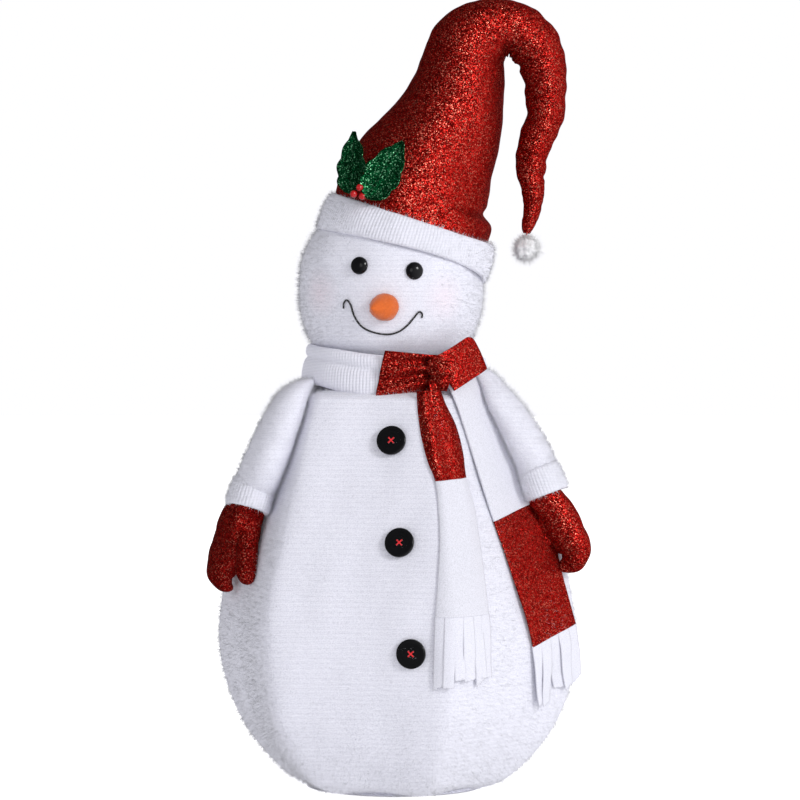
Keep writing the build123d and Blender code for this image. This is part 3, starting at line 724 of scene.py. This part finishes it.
def hat_band():
    axis = np.array([math.sin(LEAN), 0, math.cos(LEAN)])
    right = np.array([math.cos(LEAN), 0, -math.sin(LEAN)])
    back = np.array([0, 1.0, 0])

    def place(radius, height, angle):
        front = np.clip(-np.sin(angle), 0, 1)
        height = height + 0.017 * front * (1 + 0.6 * np.cos(angle)) * (1 - height / 0.06)
        around = np.cos(angle)[..., None] * right + np.sin(angle)[..., None] * back
        grid = BAND_FOOT + axis * height[..., None] + around * radius[..., None]
        return grid + around * (ripple(grid, 0.07, 41) * 0.0012)[..., None]

    section = roll_section(0.0015, 0.058, 0.1345, 0.1285, 0.007, 0.0035)
    band = ribbed_loop("hat_band_rib", section, 162, 0.0011, place)
    put(band, "hat", "rib_knit", "hat_band")
    fibres(band, "hat_band_fuzz", "hat", "rib_knit", 14000, 0.0075, M["tinsel"], 42, 0.8,
           keep=lambda p, n: ((p - BAND_FOOT) * n).sum(axis=1) > 0)


def holly_leaf(node, root, tip, facing):
    """A leaf with three soft points a side, a raised midrib and a slight cup."""
    root, tip = np.array(root), np.array(tip)
    along, length = unit(tip - root), np.linalg.norm(tip - root)
    out = unit(np.array(facing) - along * (np.array(facing) @ along))
    across = np.cross(along, out)
    share = np.linspace(0, 1, 61)[:, None]
    lane = np.linspace(-1, 1, 25)[None, :]
    body = 0.27 * length * (np.sin(np.pi * share**0.72) ** 0.75)
    points = 0.045 * length * np.abs(np.sin(share * np.pi * 3.5)) ** 0.8 * (1 - share) ** 0.3
    width = (body + points - 0.02 * length) * (share < 1) + 0.0004
    width = np.maximum(width, 0.0006)
    lift = 0.006 * np.abs(lane) ** 1.6 + 0.0022 * np.exp(-((lane / 0.10) ** 2))
    lift = lift + LEAF_CURL * share**2 + 0.0012 * np.sin(share * 21 + lane * 2) * np.abs(lane) ** 2
    grid = (root + along * (share * length)[..., None] + across * (lane * width)[..., None]
            + out * lift[..., None])
    leaf = skin(node + "_glitter", grid, M["green_glitter"], around=False)
    thicken(leaf, 0.0012)
    put(leaf, "hat", "green_glitter", node)


LEAF_CURL = 0.004
# Node, root, tip and the way the leaf faces.
LEAVES = [("left_holly_leaf", (-0.068, -0.100, 0.906), (-0.058, -0.082, 0.997), (-0.62, -0.77, 0.12)),
          ("right_holly_leaf", (-0.042, -0.120, 0.898), (0.012, -0.119, 0.982), (-0.20, -0.97, 0.10))]


def berries():
    low, high = (np.array(c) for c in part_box("holly_berries"))
    draw = np.random.RandomState(9)
    middle = (low + high) / 2
    for i, (dx, dz) in enumerate(((0.002, 0.0062), (-0.0072, -0.0035), (0.0058, -0.0068))):
        center = middle + np.array([dx, -0.002, dz])
        out = unit(np.array([draw.uniform(-0.4, 0.4), -1, draw.uniform(-0.3, 0.4)]))
        right = unit(np.cross([0, 0, 1], out))
        angle = np.linspace(-np.pi / 2, np.pi / 2, 26)
        dimple = 0.0011 * np.exp(-((angle - np.pi / 2) / 0.22) ** 2)
        profile = np.stack([np.cos(angle) * 0.0054 + 0.00005, np.sin(angle) * 0.0056 - dimple], axis=1)
        axes = (right, np.cross(out, right), out)
        berry = lathe(f"berry_{i + 1}", profile, center, axes, M["berry_plastic"], 32)
        put(berry, "hat", "berry_plastic", "holly_berries")


POMPOM_R = 0.0148


def pompom():
    low, high = (np.array(c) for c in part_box("pompom"))
    center = (low + high) / 2
    angle = np.linspace(-np.pi / 2 + 0.05, np.pi / 2 - 0.05, 30)
    profile = np.stack([np.cos(angle), np.sin(angle)], axis=1) * POMPOM_R
    core = lathe("pompom_core", profile, center, np.eye(3), M["pompom_fluff"], 40)
    points = points_of(core)
    move_points(core, points + unit(points - center) * (ripple(points, 0.012, 77) * 0.0016)[:, None])
    put(core, "pompom", "pompom_fluff", "pompom")
    fibres(core, "pompom_hair", "pompom", "pompom_fluff", 2600, 0.0120, M["pompom_fluff"], 78, 0.5, 0.0005)


def hat():
    hat_cloth()
    hat_band()
    for leaf in LEAVES:
        holly_leaf(*leaf)
    berries()
    pompom()


# --- Arms
# (height, y, radius along the facet, radius away from it), close to the CAD sleeves and palms.
ARM_FACET = {"left": RIDGE_AZIMUTH - 90, "right": RIDGE_AZIMUTH + 30}
SLEEVES = {
    "left": [(0.624, -0.034, 0.018, -0.006), (0.613, -0.060, 0.031, 0.0080), (0.598, -0.086, 0.037, 0.020),
             (0.568, -0.100, 0.042, 0.0265), (0.535, -0.098, 0.044, 0.029), (0.500, -0.095, 0.045, 0.0305),
             (0.468, -0.080, 0.040, 0.030), (0.455, -0.078, 0.034, 0.026)],
    "right": [(0.638, -0.083, 0.013, 0.007), (0.620, -0.082, 0.021, 0.012), (0.596, -0.087, 0.026, 0.018),
              (0.568, -0.087, 0.029, 0.022), (0.540, -0.088, 0.031, 0.026), (0.510, -0.088, 0.031, 0.028),
              (0.486, -0.092, 0.030, 0.029), (0.472, -0.094, 0.027, 0.026)],
}
# (top, foot, y at each, stretch along the facet)
CUFFS = {"left": (0.473, 0.431, -0.078, -0.086, 1.38), "right": (0.494, 0.454, -0.093, -0.097, 1.0)}
PALMS = {
    "left": [(0.445, -0.066, 0.030, 0.023), (0.428, -0.058, 0.040, 0.0275), (0.404, -0.048, 0.042, 0.029),
             (0.376, -0.030, 0.040, 0.0265), (0.350, -0.020, 0.036, 0.0250), (0.328, -0.023, 0.032, 0.0225),
             (0.315, -0.025, 0.024, 0.0170), (0.308, -0.026, 0.013, 0.0095), (0.305, -0.026, 0.003, 0.003)],
    "right": [(0.466, -0.092, 0.018, 0.020), (0.450, -0.093, 0.023, 0.026), (0.428, -0.091, 0.026, 0.030),
              (0.400, -0.090, 0.026, 0.031), (0.376, -0.086, 0.024, 0.030), (0.358, -0.086, 0.019, 0.025),
              (0.348, -0.086, 0.011, 0.016), (0.3435, -0.086, 0.003, 0.006)],
}
THUMBS = {"left": ((-0.214, -0.070, 0.425), (-0.2235, -0.084, 0.378), (-0.2240, -0.110, 0.321)),
          "right": ((0.224, -0.094, 0.428), (0.2215, -0.087, 0.398), (0.230, -0.088, 0.372))}
THUMB_R = {"left": 0.0168, "right": 0.0105}
# A distance straight out of the sloping flank is this much longer when it is measured level.
SLANT = 1.045


def arm_line(side, sections, count):
    """Places along an arm that lies against its facet, and the two radii at each."""
    values = smooth_line(sections, count)
    out = outward(np.array(float(ARM_FACET[side])))
    z, y, along, away = values.T
    reach = ridge_radius(z) * APOTHEM + away * SLANT + 0.0012
    x = (reach - out[1] * y) / out[0]
    return np.stack([x, y, z], axis=1), along, away


def facet_side(side):
    a = math.radians(ARM_FACET[side])
    return math.cos(a), math.sin(a), 0.0


def fold_with_frame(side, *pieces):
    """The left arm hangs on the part of the cover that folds flat."""
    if side == "left":
        for piece in pieces:
            flatten(piece)


def sleeve(side):
    center, along, away = arm_line(side, SLEEVES[side], 90)
    grid = tube_grid(center, facet_side(side), along, away, 72)
    seed = 51 if side == "left" else 52
    soft = ripple(grid, 0.045, seed) * 0.018 + ripple(grid * [1, 1, 2.2], 0.04, seed + 10) * 0.010
    grid = center[:, None] + (grid - center[:, None]) * (1 + soft[..., None])
    cloth = skin(f"{side}_sleeve_cloth", grid, M["tinsel_knit"], caps=(True, True))
    put(cloth, f"{side}_arm", "tinsel_knit", f"{side}_sleeve", f"{side}_arm_filling")
    name, body = f"{side}_sleeve_fuzz", f"{side}_arm"
    hair = fibres(cloth, name, body, "tinsel_knit", 7000, 0.0085, M["tinsel"], seed + 20)
    fold_with_frame(side, cloth, hair)


def cuff(side):
    high, low, y_high, y_low, stretch = CUFFS[side]
    ends, _, _ = arm_line(side, [(low, y_low, 0.033, 0.033), (high, y_high, 0.0315, 0.0315)], 2)
    axis = unit(ends[1] - ends[0])
    right = unit(np.array(facet_side(side)) - axis * (np.array(facet_side(side)) @ axis))
    back = np.cross(axis, right)
    length = np.linalg.norm(ends[1] - ends[0])

    def place(radius, height, angle):
        around = np.cos(angle)[..., None] * right * stretch + np.sin(angle)[..., None] * back
        return ends[0] + axis * height[..., None] + around * radius[..., None]

    section = roll_section(0.002, length - 0.002, 0.0325, 0.0305, 0.0065, 0.0015)
    band = ribbed_loop(f"{side}_cuff_rib", section, 40, 0.0009, place)
    put(band, f"{side}_arm", "rib_knit", f"{side}_cuff")
    hair = fibres(band, f"{side}_cuff_fuzz", f"{side}_arm", "rib_knit", 4000, 0.0070, M["tinsel"], 61,
                  keep=lambda p, n: ((p - ends[0]) * n).sum(axis=1) > -0.004)
    fold_with_frame(side, band, hair)


def mitten(side):
    center, along, away = arm_line(side, PALMS[side], 60)
    grid = tube_grid(center, facet_side(side), along, away, 48)
    palm = skin("palm", grid, M["red_glitter"], caps=(True, True))
    line = smooth_line(THUMBS[side], 30)
    share = np.linspace(0, 1, 30)
    radius = THUMB_R[side] * np.sqrt(np.clip(1 - np.clip((share - 0.78) / 0.225, 0, 1) ** 2, 0.01, 1))
    grid = tube_grid(line, facet_side(side), radius, radius, 32)
    thumb = skin("thumb", grid, M["red_glitter"], caps=(True, True))
    hand = merge(f"{side}_mitten_cloth", [palm, thumb])
    remesh = hand.modifiers.new("one skin", "REMESH")
    remesh.mode = "VOXEL"
    remesh.voxel_size = 0.0016
    relax = hand.modifiers.new("relax", "SMOOTH")
    relax.factor = 0.6
    relax.iterations = 6
    apply_modifiers(hand)
    points = points_of(hand)
    normals = np.array([v.normal[:] for v in hand.data.vertices])
    move_points(hand, points + normals * (ripple(points, 0.03, 66) * 0.0007)[:, None])
    hand.data.polygons.foreach_set("use_smooth", [True] * len(hand.data.polygons))
    put(hand, f"{side}_arm", "red_glitter", f"{side}_mitten", f"{side}_mitten_filling")
    fold_with_frame(side, hand)


# --- Scarf
NECK_OUT = 0.139


def neck_wrap():
    """The white rib round the neck: a narrow roll on top and a flared one under it."""
    outline = [
        (0.124, 0.6785, 1), (0.130, 0.6790, 1), (0.1345, 0.6765, 1), (0.1365, 0.6720, 1),
        (0.1368, 0.6660, 1), (0.1355, 0.6610, 1), (0.1330, 0.6575, 0.8), (0.1345, 0.6545, 0.9),
        (0.1372, 0.6500, 1), (0.1388, 0.6430, 1), (0.1396, 0.6350, 1), (0.1400, 0.6270, 1),
        (0.1398, 0.6200, 1), (0.1385, 0.6155, 0.8), (0.1350, 0.6132, 0.5), (0.1290, 0.6135, 0),
        (0.1240, 0.6200, 0), (0.1215, 0.6400, 0), (0.1210, 0.6600, 0), (0.1220, 0.6740, 0),
    ]

    def place(radius, height, angle):
        low = (0.6785 - height) / 0.065
        radius = radius + 0.0055 * low * np.clip(-np.cos(angle), 0, 1)
        run = 0.17 * np.tanh((NECK_OUT + radius * np.cos(angle)) / 0.17)
        height = height + 0.008 * low - (0.145 + 0.10 * low) * run
        around = np.stack([np.cos(angle), np.sin(angle), 0 * angle], axis=-1)
        grid = around * radius[..., None]
        grid[..., 2] = height
        wander = ripple(grid * [1, 1, 0.3], 0.08, 91) * 0.0012
        grid[..., 2] += wander
        return grid + around * wander[..., None]

    ribs = int(2 * np.pi * NECK_OUT / RIB_PITCH)
    wrap = ribbed_loop("scarf_neck_rib", outline, ribs, 0.0011, place)
    put(wrap, "stand", "rib_knit", "scarf_neck_white")
    fibres(wrap, "scarf_neck_fuzz", "stand", "rib_knit", 9000, 0.0070, M["tinsel"], 92,
           keep=lambda p, n: (p * n * [1, 1, 0]).sum(axis=1) > 0)


def cloth_strip(name, left, right, surface, pleats, material, rows, cols, thickness=SCARF_T, part=(0.0, 1.0)):
    """Cloth between two edge lines. left and right are lists of (x, z) from top to bottom; surface puts a
    place (x, z) on what the cloth lies on and gives the way out; pleats gives its height above that; part is
    the stretch of the whole length that this piece is."""
    share = np.linspace(*part, rows)
    a, b = along_line(left, share), along_line(right, share)
    lane = np.linspace(0, 1, cols)[None, :, None]
    flat = a[:, None] * (1 - lane) + b[:, None] * lane
    ground, out = surface(flat[..., 0], flat[..., 1])
    grid = ground + out * pleats(share[:, None], lane[..., 0])[..., None]
    strip = skin(name, grid, M[material], around=False)
    return thicken(strip, thickness, 0.0)


def along_line(points, share):
    """Places on a smooth line, at shares of its length in index."""
    fine = smooth_line(points, 400)
    return np.stack([np.interp(share, np.linspace(0, 1, 400), column) for column in fine.T], axis=1)


FRONT_RIGHT_FACET = 47.0


def on_body(x, z):
    """The body's front at a place across and up, and the way out of it. Past the corner of the front right
    facet the cloth goes straight on."""
    low, high = np.full_like(x, -85.0), np.full_like(x, FRONT_RIGHT_FACET + 28.0)
    for _ in range(24):
        azimuth = (low + high) / 2
        short = body_reach(azimuth, z) * np.sin(np.radians(azimuth)) < x
        low, high = np.where(short, azimuth, low), np.where(short, high, azimuth)
    ground = polar(azimuth, body_reach(azimuth, z), z)
    past = x - ground[..., 0]
    ground[..., 0] += past
    ground[..., 1] += past * math.tan(math.radians(FRONT_RIGHT_FACET))
    return ground, outward(azimuth)


def on_round(x, z, radius, widest):
    """The front of something round about the axis, out to a share of its radius."""
    azimuth = np.degrees(np.arcsin(np.clip(x / radius, -widest, widest)))
    return polar(azimuth, radius + 0 * x, z), outward(azimuth)


def on_neck(x, z):
    return on_round(x, z, NECK_OUT, 0.98)


def throat():
    """The red stretch at the throat, pleated towards the knot."""
    def pleats(share, lane):
        fold = np.sin(share * np.pi * 5.2 + 0.4 + lane * 0.7)
        return 0.0052 + 0.0046 * fold * (0.25 + lane * 0.9) + 0.006 * lane**2

    left = [(-0.0155, 0.6715), (-0.020, 0.655), (-0.0235, 0.635), (-0.027, 0.617), (-0.0295, 0.602)]
    right = [(0.062, 0.6630), (0.066, 0.654), (0.0665, 0.645), (0.061, 0.631), (0.045, 0.611)]
    strip = cloth_strip("scarf_throat_red", left, right, on_neck, pleats, "red_glitter", 60, 50)
    put(strip, "stand", "red_glitter", "scarf_neck_red")


def knot():
    """The loop that the centre tail hangs from."""
    line = smooth_line([(0.050, -0.141, 0.653), (0.062, -0.148, 0.647), (0.068, -0.152, 0.636),
                        (0.062, -0.154, 0.621), (0.050, -0.149, 0.608)], 60)
    share = np.linspace(0, 1, 60)
    width = 0.0125 + 0.004 * np.sin(share * np.pi)
    grid = tube_grid(line, (0.6, -0.1, 0.6), width, 0.0075 + 0 * share, 48,
                     lambda s, a: 1 + 0.10 * np.sin(a * 5 + s * 3) + 0.03 * np.sin(a * 9))
    loop = skin("scarf_knot_loop", grid, M["red_glitter"], caps=(True, True))
    put(loop, "stand", "red_glitter", "scarf_knot")


def flap():
    """The red end that crosses the shoulder from the knot."""
    def surface(x, z):
        share = np.clip((0.690 - z) / 0.085, 0, 1)
        radius = 0.148 + 0.016 * share + 0.012 * np.clip((x - 0.07) / 0.07, 0, 1)
        return on_round(x, z, radius, 0.97)

    def pleats(share, lane):
        return 0.002 + 0.0015 * np.sin(lane * 6 + share * 2) + 0.004 * np.sin(np.pi * lane)

    left = [(0.055, 0.662), (0.061, 0.651), (0.068, 0.639), (0.076, 0.626), (0.085, 0.612)]
    right = [(0.1050, 0.691), (0.1130, 0.688), (0.1215, 0.672), (0.1275, 0.657), (0.1325, 0.643)]
    strip = cloth_strip("scarf_flap_red", left, right, surface, pleats, "red_glitter", 36, 36, 0.004)
    put(strip, "stand", "red_glitter", "scarf_flap")


# Each tail's left and right edges, top to bottom, across and up. The colour changes halfway.
CENTRE_LEFT = [
    (0.031, 0.612), (0.033, 0.580), (0.038, 0.545), (0.047, 0.510), (0.058, 0.481), (0.0625, 0.440),
    (0.064, 0.390), (0.061, 0.335), (0.0575, 0.285),
]
CENTRE_RIGHT = [
    (0.064, 0.614), (0.072, 0.592), (0.087, 0.560), (0.097, 0.522), (0.102, 0.484), (0.114, 0.440),
    (0.122, 0.390), (0.129, 0.335), (0.1350, 0.285),
]
SIDE_LEFT = [
    (0.072, 0.628), (0.088, 0.590), (0.107, 0.530), (0.126, 0.470), (0.1435, 0.417), (0.159, 0.372),
    (0.176, 0.318), (0.191, 0.270), (0.201, 0.229),
]
SIDE_RIGHT = [
    (0.128, 0.640), (0.150, 0.605), (0.172, 0.550), (0.190, 0.492), (0.2045, 0.443), (0.219, 0.400),
    (0.239, 0.348), (0.255, 0.300), (0.2675, 0.257),
]
UPPER, LOWER = (0.0, 0.5), (0.5, 1.0)


def centre_pleats(share, lane):
    hang = 0.0055 * np.sin(lane * np.pi) ** 0.7
    folds = 0.0040 * np.sin(lane * 8.5 + share * 1.9) * (1.15 - share)
    return 0.0026 + hang + folds * np.sin(lane * np.pi) ** 0.5


def side_pleats(share, lane):
    over_hand = 0.012 * lane**2 * np.exp(-(((share - 0.60) / 0.13) ** 2))
    soft = 0.0016 * np.sin(lane * 5.0 + share * 2.6) + 0.0012 * np.sin(share * 9 + lane * 2)
    return 0.0030 + 0.0026 * np.sin(lane * np.pi) ** 0.6 + soft + over_hand


def fringe(name, top_left, top_right, bottom_left, bottom_right, pleats, strips, seed):
    """Flat felt strips cut side by side, each with its own length, twist and sway."""
    draw = np.random.RandomState(seed)
    made = []
    for i in range(strips):
        share = (i + 0.5) / strips
        wide = 0.5 / strips
        sway = draw.normal() * 0.035
        drop = draw.uniform(0.82, 1.0)
        rows = np.linspace(0, 1, 40)[:, None]
        lane = np.linspace(-1, 1, 9)[None, :]
        spread = share + lane * wide * (1.20 - 0.25 * rows**3 * draw.uniform(0, 1)) + sway * rows**1.5
        top = np.array(top_left) * (1 - spread[..., None]) + np.array(top_right) * spread[..., None]
        foot = np.array(bottom_left) * (1 - spread[..., None]) + np.array(bottom_right) * spread[..., None]
        cut = drop * (1 + 0.035 * lane * draw.normal() + 0.012 * np.sin(lane * 9 + i))
        flat = top + (foot - top) * (rows * cut)[..., None]
        ground, out = on_body(flat[..., 0], flat[..., 1])
        stand_off = 0.0008 * draw.normal() + 0.0022 * (i % 2)
        lift = pleats(1.0, np.clip(spread, 0, 1)) + stand_off * np.minimum(rows * 4, 1)
        lift = lift + 0.0030 * rows * draw.uniform(0, 1) + lane * 0.0016 * draw.normal() * rows
        lift = lift + 0.0014 * np.sin(rows * draw.uniform(5, 10) + draw.uniform(0, 6)) * rows
        grid = ground + out * np.maximum(lift, 0.0018)[..., None]
        made.append(thicken(skin("strip", grid, M["fringe_felt"], around=False), 0.0011, 0.0))
    return merge(name, made)


# Each colour's material and slot.
CLOTHS = {"red": ("red_glitter", "red_glitter"), "white": ("scarf_fleece", "rib_knit")}
# Tail, colour, left and right edge, pleats, stretch of the tail, and flat width and length.
TAILS = [
    ("centre_tail", "red", CENTRE_LEFT, CENTRE_RIGHT, centre_pleats, UPPER, (0.075, 0.14)),
    ("centre_tail", "white", CENTRE_LEFT, CENTRE_RIGHT, centre_pleats, LOWER, (0.075, 0.20)),
    ("side_tail", "white", SIDE_LEFT, SIDE_RIGHT, side_pleats, UPPER, (0.080, 0.26)),
    ("side_tail", "red", SIDE_LEFT, SIDE_RIGHT, side_pleats, LOWER, (0.085, 0.24)),
]
# Tail, corners (top left, top right, foot left, foot right), pleats, strips, seed, and flat width and length.
FRINGES = [
    ("centre_tail", ((0.0575, 0.286), (0.1350, 0.286), (0.0560, 0.178), (0.1400, 0.184)), centre_pleats,
     6, 71, (0.105, 0.110)),
    ("side_tail", ((0.2010, 0.230), (0.2675, 0.258), (0.206, 0.130), (0.2725, 0.170)), side_pleats,
     5, 72, (0.105, 0.108)),
]


def hang(piece, tail, slot, part, flat):
    put(piece, f"scarf_{tail}", slot, f"{tail}_{part}")
    flatten(piece)


def tails():
    for tail, part, left, right, pleats, stretch, flat in TAILS:
        material, slot = CLOTHS[part]
        name = f"{tail}_{part}_cloth"
        strip = cloth_strip(name, left, right, on_body, pleats, material, 100, 60, part=stretch)
        hang(strip, tail, slot, part, flat)
    for tail, corners, pleats, count, seed, flat in FRINGES:
        hang(fringe(f"{tail}_fringe_cut", *corners, pleats, count, seed), tail, "fringe_felt", "fringe", flat)


def scarf():
    neck_wrap()
    throat()
    knot()
    flap()
    tails()


# --- Carried-over CAD nodes
def dress_cad_nodes():
    slots = {s["node"]: s["material_slot"] for s in frame["record"]["subparts"]}
    for name, obj in frame["nodes"].items():
        obj.data.materials.clear()
        obj.data.materials.append(M[slots[name]])


def body():
    cover = body_cover()
    put(cover, "stand", "tinsel_knit", "body_cover")
    hair = fibres(cover, "body_fuzz", "stand", "tinsel_knit", 66000, 0.0085, M["tinsel"], 2, 0.85,
                  keep=lambda p, n: p[:, 2] > 0.006)
    for piece in (cover, hair):
        flatten(piece)


# --- Stage
def sun(name, azimuth, elevation, strength, spread):
    """A far soft lamp, so that the floor is lit evenly all the way back."""
    light = bpy.data.lights.new(name, "SUN")
    light.energy = strength
    light.angle = math.radians(spread)
    obj = bpy.data.objects.new(name, light)
    towards = outward(np.array(float(azimuth))) * math.cos(math.radians(elevation))
    towards[2] = math.sin(math.radians(elevation))
    obj.rotation_euler = Vector(towards).to_track_quat("Z", "Y").to_euler()
    bpy.context.collection.objects.link(obj)


def floor_paint():
    s = Shader("floor_paint", (0.93, 0.93, 0.94), 0.8)
    s.surface.inputs["Emission Color"].default_value = (1, 1, 1, 1)
    s.surface.inputs["Emission Strength"].default_value = 0.72
    s.color(s.ramp(s.noise(2.5, 3), [(0.3, (0.92, 0.92, 0.93)), (0.7, (0.94, 0.94, 0.95))]))
    return s.material


def studio_world():
    """A pale room: white low down behind, dimmer overhead, and darker to the left than to the right. What
    shiny pieces mirror is darker still on the left."""
    world = bpy.data.worlds.new("studio")
    bpy.context.scene.world = world
    world.use_nodes = True
    w = Nodes(world.node_tree)
    way = w.node("SeparateXYZ")
    w.join(w.node("TexCoord").outputs["Generated"], way.inputs[0])

    def pale(source, start, end):
        return w.ramp(source, [(place, (v, v, v * 1.01)) for place, v in (start, end)])

    side = w.math("MULTIPLY_ADD", way.outputs["X"], 0.5, 0.5)
    height = pale(way.outputs["Z"], (0.0, 1.0), (0.85, 0.52))
    across = w.mix(1.0, pale(side, (0.1, 0.84), (0.9, 1.0)), height, "MULTIPLY")
    behind = pale(way.outputs["Y"], (0.90, 0.0), (0.97, 1.0))
    low = pale(way.outputs["Z"], (0.14, 1.0), (0.30, 0.0))
    total = w.mix(1.0, across, w.mix(1.0, behind, low, "MULTIPLY"), "LIGHTEN")
    not_gloss = pale(w.node("LightPath").outputs["Is Glossy Ray"], (0.0, 1.0), (1.0, 0.0))
    gloss = pale(side, (0.35, 0.20), (0.95, 0.90))
    total = w.mix(1.0, total, w.mix(1.0, gloss, not_gloss, "LIGHTEN"), "MULTIPLY")
    w.join(total, w.tree.nodes["Background"].inputs["Color"])


FLOOR_HALF = 12.0


def stage():
    """The floor takes shadows, but it neither lights the figure nor shows in what shines."""
    corners = [(x * FLOOR_HALF, y * FLOOR_HALF, 0) for x, y in ((-1, -1), (1, -1), (1, 1), (-1, 1))]
    floor = new_object("floor", corners, [(0, 1, 2, 3)], floor_paint())
    floor.visible_diffuse = False
    floor.visible_glossy = False
    studio_world()
    sun("key", 46, 22, 1.35, 16)
    sun("front", -10, 8, 0.25, 30)
    bpy.context.scene.view_settings.view_transform = "Standard"


CAMERA_AT = (0.006, -6.0, 0.85)
CAMERA_AIM = (0.006, 0.0, 0.592)
LENS_MM = 177.0


def camera():
    lens = bpy.data.cameras.new("camera")
    lens.sensor_width = 36.0
    lens.lens = LENS_MM
    obj = bpy.data.objects.new("camera", lens)
    obj.location = CAMERA_AT
    obj.rotation_euler = (Vector(CAMERA_AIM) - obj.location).to_track_quat("-Z", "Y").to_euler()
    bpy.context.collection.objects.link(obj)
    bpy.context.scene.camera = obj


camera()
stage()
dress_cad_nodes()
body()
head()
hat()
for arm in ("left", "right"):
    sleeve(arm)
    cuff(arm)
    mitten(arm)
scarf()
